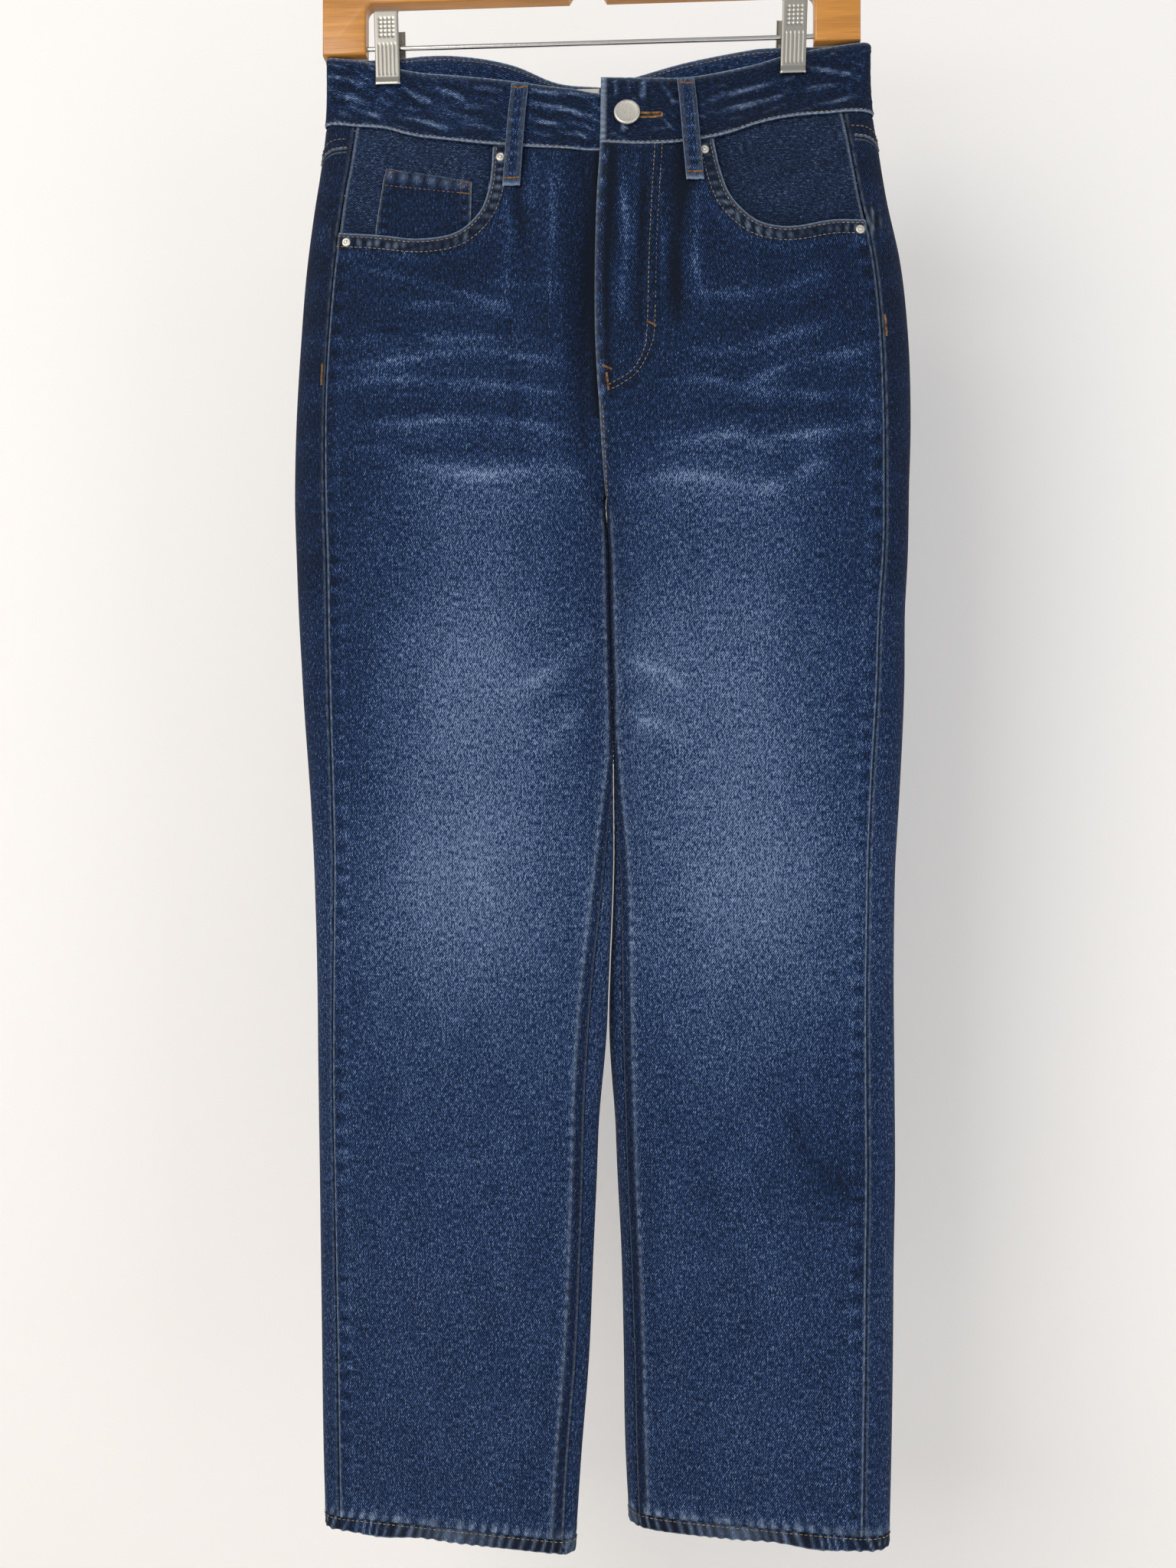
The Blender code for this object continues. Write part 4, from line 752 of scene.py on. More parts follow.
PANEL_STEP = 2.7
for half, side in (("l", "left"), ("r", "right")):
    mouth = MOUTH_LINE[half][::-1]
    mouth_w = np.clip(place(half, "front", mouth[:, 0], mouth[:, 1]), 0, 1)
    mouth_z = mouth[:, 1].copy()
    mouth_w = np.concatenate(([0.0], mouth_w[mouth_w > 0.004]))
    mouth_z = np.concatenate(([mouth_z[0]], mouth_z[-(len(mouth_w) - 1):]))
    seam_w = np.linspace(mouth_w[-1], 1.0, 60)
    seam_z = np.full(60, -212.0)
    for _ in range(4):
        seam_z = band_height(half, "front", "seam", form(half, seam_w, seam_z)[0][:, 0]) - 0.2
    top_w = np.concatenate((mouth_w, seam_w[1:]))
    top_z = np.concatenate((mouth_z, seam_z[1:]))
    top_points = form(half, top_w, top_z)[0]
    arc = np.concatenate(([0.0], np.cumsum(np.linalg.norm(np.diff(top_points, axis=0), axis=1))))
    corner = arc[len(mouth_w) - 1]
    here = spaced(arc[-1], (0.0, corner, arc[-1]), PANEL_STEP)
    first_w, first_z = np.interp(here, arc, top_w), np.interp(here, arc, top_z)
    first_share = girth(half, first_w, first_z) / girth(half, 1.0, first_z)
    foot_z = HEM_EDGE[half] + HEM_TALL + 0.2
    longest = top_z.max() - foot_z
    drop = spaced(longest, (0.0, longest), PANEL_STEP)
    z = first_z[None, :] - (first_z[None, :] - foot_z) * (drop / longest)[:, None]
    blend = 1 - np.exp(-(first_z[None, :] - z) / 45.0)
    share = first_share[None, :] * (1 - blend) + (here / here[-1])[None, :] * blend
    w = at_share(half, share, z)
    w[:, 0], w[:, -1] = 0.0, 1.0
    dressed, smooth_points = worn_piece(half, w, z)
    panel = lay_cloth("denim_front_" + side, *dressed, (WASHED_TWILL, TWILL_REVERSE))
    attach(panel, "root")
    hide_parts("front_" + side, *(("fly_placket",) if half == "r" else ()))
    width, length, area = cut_size(smooth_points)

# Back panels and yokes.  The seat and the backs of the legs, cut wider than the fronts, so
# they come round the sides; a shaped yoke joins each to the waistband with a felled seam.
BACK_STEP = 3.8
for half, side in (("l", "left"), ("r", "right")):
    span = -girth(half, -1.0, -600.0)
    share = spaced(span, (0.0, span), BACK_STEP, fine=1.2) / span - 1.0
    yoke_w = share.copy()
    for _ in range(5):
        yoke_w = at_share(half, share, yoke_height(yoke_w))
    yoke_z = yoke_height(yoke_w)
    foot_z = HEM_EDGE[half] + HEM_TALL + 0.2
    longest = yoke_z.max() - foot_z
    drop = spaced(longest, (0.0, longest), BACK_STEP, fine=1.3) / longest
    z = (yoke_z - 0.15)[None, :] - (yoke_z - 0.15 - foot_z)[None, :] * drop[:, None]
    w = at_share(half, share[None, :], z)
    w[:, 0], w[:, -1] = -1.0, -0.0002
    band_z = np.full(len(share), -200.0)
    for _ in range(5):
        spot, _, front = form(half, at_share(half, share, band_z), band_z)
        band_z = band_level(half, "seam", spot[:, 0], front) - 0.2
    tall = spaced(60.0, (0.0, 60.0), 3.0, fine=1.3, reach=9.0) / 60.0
    yoke_rows = band_z[None, :] + (yoke_z + 0.15 - band_z)[None, :] * tall[:, None]
    yoke_place = at_share(half, share[None, :], yoke_rows)
    yoke_place[:, 0], yoke_place[:, -1] = -1.0, -0.0002
    for name, w_here, z_here, nodes in (
        ("denim_back_" + side, w, z, tuple("back_" + side + part for part in ("_seat", "_thigh", "_calf"))),
        ("denim_yoke_" + side, yoke_place, yoke_rows, ("yoke_" + side,)),
    ):
        dressed, smooth_points = worn_piece(half, w_here, z_here)
        panel = lay_cloth(name, *dressed, (WASHED_TWILL, TWILL_REVERSE))
        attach(panel, "root")
        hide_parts(*nodes)
        width, length, area = cut_size(smooth_points)

# Pocket facings and coin pocket.  The unfaded cloth behind each open mouth, and the small
# patch pocket sewn on the left one; both lie a little below the panels, so the mouths gape.
FACING_TWILL = twill_look("facing_twill", (0.0022, 0.0050, 0.0125), (0.0130, 0.0300, 0.078), (0.16, 0.21, 0.31))
FACING_UNDER = 12.0
FACING_COLUMNS = 72
FACING_ROWS = 36


def mouth_depth(half, x, z):
    """Distance outside the cut edge of the mouth; below 0 under the front panel."""
    line = MOUTH_LINE[half]
    sign = 1.0 if half == "l" else -1.0
    edge_z = np.interp(x * sign, line[::-1, 0] * sign, line[::-1, 1])
    inner = (x * sign > line[0, 0] * sign) | (z < edge_z)
    return np.where(inner, -1.0, 1.0) * distance_to(line, x, z)


def beside_curve(line, sign, distance):
    """A line in the picture's plane moved sideways by a distance."""
    way = np.gradient(line, axis=0)
    way /= np.linalg.norm(way, axis=1, keepdims=True)
    return line + sign * np.stack((-way[:, 1], way[:, 0]), -1) * distance


for half, side in (("l", "left"), ("r", "right")):
    under = beside_curve(MOUTH_LINE[half], 1.0 if half == "l" else -1.0, FACING_UNDER)
    order = np.argsort(under[:, 0])
    w = np.linspace(0.0, 1.0, FACING_COLUMNS) * place(half, "front", under[0, 0], -215.0)
    band_z = np.full(FACING_COLUMNS, -205.0)
    foot_z = np.full(FACING_COLUMNS, -280.0)
    for _ in range(5):
        band_z = band_height(half, "front", "seam", form(half, w, band_z)[0][:, 0]) - 0.4
        foot_z = np.interp(form(half, w, foot_z)[0][:, 0], under[order, 0], under[order, 1])
    foot_z = np.minimum(foot_z, band_z - 6.0)
    band_z = band_z + 2.6
    z = band_z[None, :] + (foot_z - band_z)[None, :] * np.linspace(0, 1, FACING_ROWS)[:, None]
    w = np.broadcast_to(w[None, :], z.shape)
    smooth_points = form(half, w, z)[0]
    x = smooth_points[..., 0]
    edge = np.abs(mouth_depth(half, x, z))
    near_seam = np.exp(-girth(half, w, z) / 2.0)
    sunk = -1.5 - 1.5 * np.exp(-edge / 9.0) * (1 - near_seam) + 0.9 * near_seam
    points, out = cloth(half, w, z, sunk, under=True)
    s = girth(half, w, z)
    # Painted shadow: the facing darkens towards the mouth's edge, where it lies sunk under the gaping panel.
    fade = (0.24 if half == "l" else 0.19) - 0.16 * np.exp(-edge / 8.0) + 0.05 * ripple(s + z, 31.0, 0.6)
    weave = weave_map(half, s, -z)[..., ::-1]
    facing = lay_cloth("denim_facing_" + side, points, out, weave, np.clip(fade, 0, 1), 0.3 * hump(s, 1.6, 0.9),
                       (FACING_TWILL,))
    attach(facing, "root")
    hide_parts("pocket_facing_" + side)
    width, length, area = cut_size(smooth_points)

COIN_TOP = ((-140.2, -225.1), (-80.2, -237.8))
COIN_FOOT = ((-147.8, -281.0), (-80.8, -276.5))
COIN_WIDE = 60.0
COIN_TALL = 48.0


def coin_spot(a, b):
    """Place in the picture of a spot on the coin pocket, across and down it from 0 to 1."""
    top = [COIN_TOP[0][k] * (1 - a) + COIN_TOP[1][k] * a for k in (0, 1)]
    foot = [COIN_FOOT[0][k] * (1 - a) + COIN_FOOT[1][k] * a for k in (0, 1)]
    return top[0] * (1 - b) + foot[0] * b, top[1] * (1 - b) + foot[1] * b


def coin_edges(a, b):
    """Distances from the coin pocket's left, right and top edge, and from the nearest one."""
    left_edge, right_edge, top_edge = a * COIN_WIDE, (1 - a) * COIN_WIDE, b * COIN_TALL
    return left_edge, right_edge, top_edge, np.minimum(np.minimum(left_edge, right_edge), top_edge)


def coin_rise(a, b, x, z):
    """Height of the coin pocket over the panel's outer face; it dips under the mouth's edge."""
    left_edge, right_edge, top_edge, rim = coin_edges(a, b)
    rise = -0.15 + 0.5 * step((12.5 - top_edge) / 1.5) - 0.9 * np.exp(-rim / 0.5)
    rise = rise + 0.3 * ripple(x, 9.0, 1.1) * hump(top_edge, 6.0, 5.0)
    rise = rise + 0.35 * hump(top_edge, 0, 4) * ripple(x, 17.0, 2.0)
    rise = rise + 0.3 * step((9.0 - right_edge) / 1.2) + 0.25 * step((7.0 - left_edge) / 1.2)
    return rise - 1.9 * step((5.0 - mouth_depth("l", x, z)) / 6.0)


across = spaced(COIN_WIDE, (0.0, COIN_WIDE), 1.8, fine=0.8, reach=5.0) / COIN_WIDE
below = spaced(COIN_TALL, (0.0,), 1.8, fine=0.8, reach=15.0) / COIN_TALL
a, b = np.broadcast_arrays(across[None, :], below[:, None])
x, z = coin_spot(a, b)
w = place("l", "front", x, z)
points, out = cloth("l", w, z, coin_rise(a, b, x, z), under=True)
left_edge, right_edge, top_edge, rim = coin_edges(a, b)
nicks = 0.5 + 0.5 * ripple(x, 9.0, 1.1)
fade = 0.08 + 0.40 * (nicks - 0.35) * hump(top_edge, 6.0, 6.0) - 0.06 * hump(top_edge, 13.0, 3.0)
fade = fade + 0.26 * ripple(z, 8.0, 0.3) * (hump(right_edge, 4.4, 2.4) + hump(left_edge, 4.4, 3))
rub = (0.7 + 0.3 * ripple(x - z, 5.3, 0.9)) * np.exp(-rim / 0.5) + 0.18 * nicks * hump(top_edge, 5.0, 3.0)
weave = weave_map("l", girth("l", w, z), z)
coin = lay_cloth("denim_coin_pocket", points, out, weave, fade, rub, (WASHED_TWILL,), thick=0.9)
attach(coin, "root")
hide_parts("coin_pocket")
width, length, area = cut_size(form("l", w, z)[0])

# Waistband and label.  One strip folded along its top edge, running from the underlap behind
# the button, round the back, to the end with the buttonhole; a plain tape label lies inside.
BAND_OUT = 0.9
BAND_IN = -1.3
BAND_UNDER = 2.7
BAND_ROUND = 1.1
BAND_THICK = 0.55
BAND_STEP = 2.1
# Both ends of each crease, its half width and its height; the back has the same ones mirrored
BAND_CREASES = (
    (-180, -155, -155, -161, 3.0, 0.5), (-180, -165, -152, -178, 3.2, 0.7), (-170, -175, -142, -185, 3.0, 0.6),
    (-132, -163, -108, -175, 3.0, 0.7), (-127, -187, -92, -198, 3.4, 0.6), (-110, -165, -84, -178, 3.0, 0.7),
    (-100, -180, -67, -188, 3.0, -0.6), (-85, -167, -62, -173, 2.6, 0.5), (-92, -192, -62, -203, 3.0, 0.5),
    (-42, -170, -17, -180, 2.8, 0.8), (-42, -180, -2, -193, 3.0, 0.8), (-42, -192, -17, -201, 2.8, 0.6),
    (-30, -171, 3, -180, 2.6, 0.6), (-26, -188, 2, -196, 2.6, -0.6), (-24, -202, 2, -207, 2.6, 0.5),
    (33, -165, 28, -178, 2.6, -0.8), (39, -166, 34, -182, 2.4, 0.8), (45, -165, 46, -179, 2.6, -0.6),
    (16, -166, 17, -180, 2.4, 0.7), (26, -196, 20, -208, 2.8, 0.7), (12, -200, 30, -207, 2.6, -0.5),
    (48, -196, 58, -206, 2.6, 0.5), (52, -170, 56, -186, 2.6, 0.5), (80, -163, 110, -155, 3.0, 0.5),
    (80, -181, 128, -165, 3.2, 0.8), (84, -191, 131, -178, 3.2, 0.8), (90, -174, 118, -166, 2.6, -0.5),
    (146, -155, 183, -167, 3.0, 0.7), (143, -175, 172, -168, 3.0, 0.6), (150, -186, 184, -178, 3.0, 0.6),
)


def band_edges(half, w):
    """Heights of the band's top edge and lower seam at places round a half."""
    top = np.full(np.shape(w), -160.0)
    seam = np.full(np.shape(w), -200.0)
    for _ in range(5):
        for level, edge in ((top, "top"), (seam, "seam")):
            spot, _, front = form(half, w, level)
            level[...] = band_level(half, edge, spot[..., 0], front)
    return top, seam


def band_relief(half, w, z, top, seam):
    """Creases and puckers of the band's outer face, and the creases alone."""
    spot, _, front = form(half, w, z)
    x = spot[..., 0]
    crease = np.zeros(np.shape(x))
    for face, mirror in (("front", 1.0), ("back", -1.0)):
        for x0, z0, x1, z1, wide, high in BAND_CREASES:
            t, off = along(x, z, x0 * mirror, z0, x1 * mirror, z1)
            off = off - 1.2 * np.sin(3.0 * t + x0 * mirror)
            trough = np.exp(-((np.abs(off) - 1.5 * wide) / (0.7 * wide)) ** 2)
            here = 1.3 * high * (np.exp(-(off / (0.6 * wide)) ** 2) - 0.6 * trough) * arch(t, 0.6)
            crease = crease + np.where(front == (face == "front"), here, 0.0)
    s = girth(half, w, z)
    near = np.exp(-np.abs(z - seam - 3) / 4.0) + np.exp(-np.abs(top - z - 3) / 4.0)
    fall = z + np.where(x < 10.0, 0.45, -0.32) * x + 1.6 * np.sin(x / 8.0)
    folds = np.exp(-(ripple(fall, 17.0, 0.4) / 0.28) ** 2)
    folds = folds * np.clip(0.45 + 0.8 * ripple(x - 0.5 * z, 24.0, 2.2), 0, 1)
    folds = 0.75 * folds + 0.3 * ripple(x + 2.0 * z, 9.0, 1.6) * ripple(x - z, 23.0, 0.7) - 0.2
    crease = crease + folds * np.clip((top - z) / 5.0, 0, 1) * np.clip((z - seam) / 5.0, 0, 1)
    return 0.8 * crease + 0.20 * ripple(s, 6.2, 0.8) * near, crease


def on_band(half, w, z, out):
    """Points at a height over the band's faces, and its outward ways."""
    relief, _ = band_relief(half, w, z, *band_edges(half, w))
    n = outward(half, w, z)
    return form(half, w, z)[0] + n * (out + relief)[:, None], n


def band_strip(half, w, under=0.0, close=False):
    """Points, outward ways, weave, fade and rub of columns of the folded strip."""
    top, seam = band_edges(half, w)
    if half == "r" and np.any(under):
        top = np.full(len(w), float(band_height("l", "front", "top", 6.5)) + 1.0)
    low = spaced(44.0, (0.0, 44.0), BAND_STEP, fine=0.7, reach=4.0)[:, None] / 44.0
    turn = np.radians(np.linspace(0, 180, 9))[1:-1, None]
    back = np.linspace(0.0, 1.0, 18)[:, None]
    outer = seam + 0.2 + (top - BAND_ROUND - seam - 0.2) * low
    rolled = top - BAND_ROUND + BAND_ROUND * np.sin(turn)
    inner = top - BAND_ROUND + (seam + 0.4 - top + BAND_ROUND) * back
    z = np.concatenate((outer, rolled, inner))
    w = np.broadcast_to(w[None, :], z.shape)
    relief, crease = band_relief(half, w, z, top, seam)
    middle, reach = 0.5 * (BAND_OUT + BAND_IN), 0.5 * (BAND_OUT - BAND_IN)
    above = outer - seam
    lift = BAND_OUT - 0.7 * np.exp(-above / 0.7) + 0.25 * hump(above, 1.6, 1.0)
    lift = np.concatenate((lift, middle + reach * np.cos(turn) + 0 * rolled, BAND_IN + 0 * inner))
    shut = np.ones(len(top))
    if close:
        shut[-4:] = np.sqrt(1 - np.array((0.25, 0.5, 0.75, 0.96)) ** 2 * 0.9)
    lift = middle + (lift - middle) * shut
    lift = lift + relief * (0.2 if np.any(under) else 1.0) - under
    p = form(half, w, z)[0]
    n = outward(half, w, z)
    points = p + n * lift[..., None]
    way = np.concatenate((n[:len(low)], 0 * n[:len(turn)], -n[-len(back):]))
    s = girth(half, w, -190.0)[0] * (1 if half == "l" else -1)
    fold = np.concatenate((outer - top, np.linspace(-1, 1, len(turn))[:, None] + 0 * rolled, top - inner))
    weave = np.stack((-fold, s + 0 * z), -1)
    ends = np.zeros(len(top))
    if close:
        ends[-4:] = (0.3, 0.6, 0.7, 0.7)
    ridge = 0.8 * np.exp(-(top - outer) / 0.9) + 0.9 * hump(above, 0.8, 0.65)
    rub = np.concatenate((ridge, 0.8 + 0 * rolled, 0.4 * np.exp(-(top - inner) / 1.5)))
    ends = ends * (0.7 + 0.3 * ripple(z, 4.4, 0.6))
    rub = np.maximum(rub * (0.68 + 0.32 * ripple(s, 4.6, 1.7)), ends) + 0.20 * np.clip(crease, 0, 1) ** 1.5
    # The tone follows the crease heights: paler on ridges from wear, darker in the troughs as painted shade.
    tone = (0.23 if half == "l" else 0.10) + 0.44 * np.clip(crease, -0.6, 1) + 0.05 * ripple(s, 60.0, 0.2)
    tone = tone - 0.10 * hump(z, seam + 6, 4) - 0.06 * hump(z, top - 6, 3)
    tone[-len(back):] = 0.22
    return points, way, weave, np.clip(tone, 0, 1), np.clip(rub, 0, 1)


def band_places(half):
    """Places round a half at even lengths of band, from the front seam to the back."""
    ahead, behind = float(girth(half, 1.0, -170.0)), float(girth(half, -1.0, -170.0))
    length = ahead - spaced(ahead - behind, (0.0,), BAND_STEP, fine=1.2, reach=6.0)
    return at_share(half, np.where(length > 0, length / ahead, length / -behind), -170.0)


lap_w = place("r", "front", np.linspace(41.0, 7.2, 15), np.full(15, -190.0))
left_w = band_places("l")
sunk = BAND_UNDER * np.where(left_w > 0.9, step((left_w - 0.9) / 0.1 * 1.2), 0.0)
pieces = (
    band_strip("r", lap_w, under=BAND_UNDER),
    band_strip("l", left_w[:-1], under=sunk[:-1]),
    band_strip("r", band_places("r")[::-1], close=True),
)
points, out, weave, fade, rub = [np.concatenate(part, 1) for part in zip(*pieces)]
run = np.concatenate(([0.0], np.cumsum(np.linalg.norm(np.diff(points[6], axis=0), axis=1))))
weave[..., 1] = run[None, :]
waistband = lay_cloth("denim_waistband", points, out, weave, fade, rub, (WASHED_TWILL,), thick=BAND_THICK)
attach(waistband, "root")
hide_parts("waistband")
width, length, area = cut_size(points)

LABEL_X = (-11.5, 5.0)
LABEL_Z = (-161.6, -180.0)
TAPE, tape_tree, tape_shader = new_look("woven_tape")
tape_weave = node(tape_tree, "ShaderNodeUVMap", uv_map="weave").outputs[0]
rib_inputs = {"Vector": tape_weave, "Scale": 420.0, "Distortion": 1.0}
tape_rib = node(tape_tree, "ShaderNodeTexWave", rib_inputs, bands_direction="X").outputs["Fac"]
tape_stain = stretched_noise(tape_tree, tape_weave, (160, 130, 1), 3.0, 0.6)
tape_tone = maths(tape_tree, "MULTIPLY_ADD", tape_rib, 0.25, tape_stain)
tape_colour = blend_colours(tape_tree, tape_tone, (0.40, 0.37, 0.31, 1), (0.66, 0.63, 0.55, 1))
feed(tape_shader, {"Base Color": tape_colour, "Roughness": 0.9,
                   "Normal": bumped(tape_tree, 0.4, 0.0004, tape_rib)})
a, b = np.meshgrid(np.linspace(0, 1, 15), np.linspace(0, 1, 19))
x = LABEL_X[0] + (LABEL_X[1] - LABEL_X[0]) * a
z = LABEL_Z[0] + (LABEL_Z[1] - LABEL_Z[0]) * b
w = place("l", "back", x, z)
lift = BAND_IN - 0.45 - 0.35 * np.sin(np.pi * b) * (0.6 + 0.4 * np.cos(7 * a))
p, n = form("l", w, z)[0], outward("l", w, z)
weave = np.stack((x, z), -1)
label = lay_cloth("tape_label", p + n * lift[..., None], -n, weave, 0.3, 0.0, (TAPE,), thick=-0.35)
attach(label, "root")
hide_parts("waist_label")

# Belt loops.  Five straps of doubled denim over the waistband, folded in along both edges,
# tacked above and below with dense stitches; each stands off the band in the middle.
# Each strap's name and face, and its top and foot in the picture
STRAPS = (
    ("front_left", "front", -48.3, -167.5, -53.2, -242.5),
    ("front_right", "front", 64.8, -166.8, 71.2, -241.5),
    ("back_left", "back", -100.0, -141.5, -98.0, -205.5),
    ("back_right", "back", 108.0, -144.5, 106.0, -207.5),
    ("back_middle", "back", 6.8, -163.0, 6.0, -225.5),
)
STRAP_RISE = ((0.0, 1.45), (0.08, 1.6), (0.2, 3.0), (0.35, 3.8), (0.5, 3.8), (0.65, 3.2), (0.8, 1.9),
              (0.92, 0.8), (1.0, 0.75))
STRAP_THICK = 1.6
STRAP_HALF = 6.0


def spot_on(face, x, z):
    """Smooth point and outward way of a spot seen at x, z, on whichever half it lies."""
    x, z = np.broadcast_arrays(np.asarray(x, float), np.asarray(z, float))
    on_left = (x < down(SECTIONS, "mid_l", z))[..., None]
    w_left, w_right = place("l", face, x, z), place("r", face, x, z)
    p = np.where(on_left, form("l", w_left, z)[0], form("r", w_right, z)[0])
    return p, np.where(on_left, outward("l", w_left, z), outward("r", w_right, z))


def strap_spots(face, x0, z0, x1, z1, a, t):
    """Points on a strap's outer face, a across it from -1 to 1 and t down it, and their ways."""
    x, z = x0 + (x1 - x0) * t, z0 + (z1 - z0) * t
    rise = smooth([row[0] for row in STRAP_RISE], [row[1] for row in STRAP_RISE], t)
    left, mid, right = (spot_on(face, x + far, z) for far in (-STRAP_HALF, 0.0, STRAP_HALF))
    n = mid[1]
    gap = np.sum((mid[0] - 0.5 * (left[0] + right[0])) * n, -1)
    lift = rise + STRAP_THICK + np.maximum(gap, 0.0)
    chord = 0.5 * (left[0] + right[0]) + 0.5 * (right[0] - left[0]) * a[..., None]
    edge = (1 - np.abs(a)) * STRAP_HALF
    lift = lift + 0.35 * hump(edge, 2.2, 1.2) - 0.7 * np.exp(-edge / 0.5) - 0.25 * hump(edge, 6.0, 2.4)
    lift = lift + 0.22 * ripple(t * 75.0, 7.3, x0) * (0.5 + 0.5 * np.abs(a))
    lift = lift + 0.45 * hump(t, 0.63, 0.03) - 0.3 * hump(t, 0.57, 0.04) - 0.4 * hump(t, 0.955, 0.02)
    return chord + n * lift[..., None], n


for name, face, x0, z0, x1, z1 in STRAPS:
    tall = spaced(math.hypot(x1 - x0, z1 - z0), (0.0,), 1.5, fine=1.2, reach=5.0)
    rows_t = tall / tall[-1]
    a = spaced(12.0, (0.0, 12.0), 1.2, fine=0.6, reach=3.0) / 6.0 - 1.0
    points, out = strap_spots(face, x0, z0, x1, z1, *np.meshgrid(a, rows_t))
    edge = (1 - np.abs(a))[None, :] * STRAP_HALF
    fade = 0.08 + 0.28 * (0.5 + 0.5 * ripple(tall, 7.3, x0))[:, None] + 0.05 * hump(edge, 6.0, 2.0)
    fade = fade - 0.10 * hump(edge, 2.4, 1.0)
    rub = 0.55 * np.exp(-edge / 0.45) + 0.12 * hump(edge, 2.4, 0.8)
    rub = rub + (0.5 * np.exp(-(tall[-1] - tall) / 2.0) + 0.3 * np.exp(-tall / 1.2))[:, None]
    weave = np.stack(np.broadcast_arrays(x0 + a[None, :] * STRAP_HALF, -tall[:, None]), -1)
    strap = lay_cloth("denim_loop_" + name, points, out, weave, fade, rub, (WASHED_TWILL,), thick=STRAP_THICK - 0.4)
    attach(strap, "root")
    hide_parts("belt_loop_" + name)

# Back pockets.  Two patches of the same twill on the seat, pointed at the foot, with a wide
# hem along the top and doubled stitching; guessed, for the picture shows only the front.
# Each pocket's side, middle, heights of its top, lower corners and point, and widths at top and foot
BACK_POCKETS = (
    ("left", -98.0, -276.0, -392.0, -414.0, 146.0, 128.0),
    ("right", 112.0, -276.0, -392.0, -414.0, 146.0, 128.0),
)
PATCH_THICK = 1.1
PATCH_OUT = 1.5
PATCH_HALF = 68.0
PATCH_TALL = 120.0


def patch_spot(row, a, b):
    """Place in the picture of a spot on a back pocket, a across it from -1 to 1 and b down it."""
    side, x, top, foot, point, wide, wide_foot = row
    z = top + b * (foot - top + (point - foot) * (1 - np.abs(a)))
    return x + a * 0.5 * (wide + (wide_foot - wide) * b), z


def patch_rise(a, b, x, z):
    """Height of a back pocket over the panel, with its folded edges, top hem and a slight gape."""
    fall = b * PATCH_TALL
    edge = np.minimum((1 - np.abs(a)) * PATCH_HALF, (1 - b) * PATCH_TALL)
    rise = PATCH_OUT + 0.25 * step((10.0 - edge) / 1.5) - 0.9 * np.exp(-edge / 0.8)
    rise = rise + 0.3 * ripple(z + 0.6 * x, 8.0, 0.9) * hump(edge, 5.0, 3.5)
    rise = rise + 0.35 * step((22.0 - fall) / 1.5) + 0.25 * ripple(x, 9.0, 1.9) * hump(fall, 21.0, 4.0)
    return rise + 0.9 * np.sin(np.pi * np.clip(b * 1.6, 0, 1)) * (1 - a * a) * np.exp(-b * 6.0)


for row in BACK_POCKETS:
    side = row[0]
    half = side[0]
    a = spaced(2 * PATCH_HALF, (0.0, 2 * PATCH_HALF), 3.4, fine=1.2, reach=10.0) / PATCH_HALF - 1.0
    b = spaced(PATCH_TALL, (0.0, PATCH_TALL), 3.4, fine=1.2, reach=10.0) / PATCH_TALL
    a, b = np.meshgrid(a, b)
    x, z = patch_spot(row, a, b)
    w = place(half, "back", x, z)
    points, out = cloth(half, w, z, patch_rise(a, b, x, z))
    smooth_points, _, front = form(half, w, z)
    fade, _ = worn(half, w, z, x, front)
    edge = np.minimum((1 - np.abs(a)) * PATCH_HALF, np.minimum(1 - b, b) * PATCH_TALL)
    nicks = 0.5 + 0.5 * ripple(z + 0.6 * x, 8.0, 0.9)
    fade = fade + 0.05 + 0.12 * nicks * hump(edge, 10.0, 3.0) - 0.08 * hump(edge, 5.0, 3.0)
    rub = 0.7 * np.exp(-edge / 1.1) + 0.2 * nicks * hump(edge, 6.0, 2.5)
    weave = weave_map(half, girth(half, w, z), z)
    patch = lay_cloth("denim_back_pocket_" + side, points, out, weave, np.clip(fade, 0, 1), np.clip(rub, 0, 1),
                      (WASHED_TWILL,), thick=PATCH_THICK)
    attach(patch, "root")
    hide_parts("back_pocket_" + side)
    width, length, area = cut_size(smooth_points)

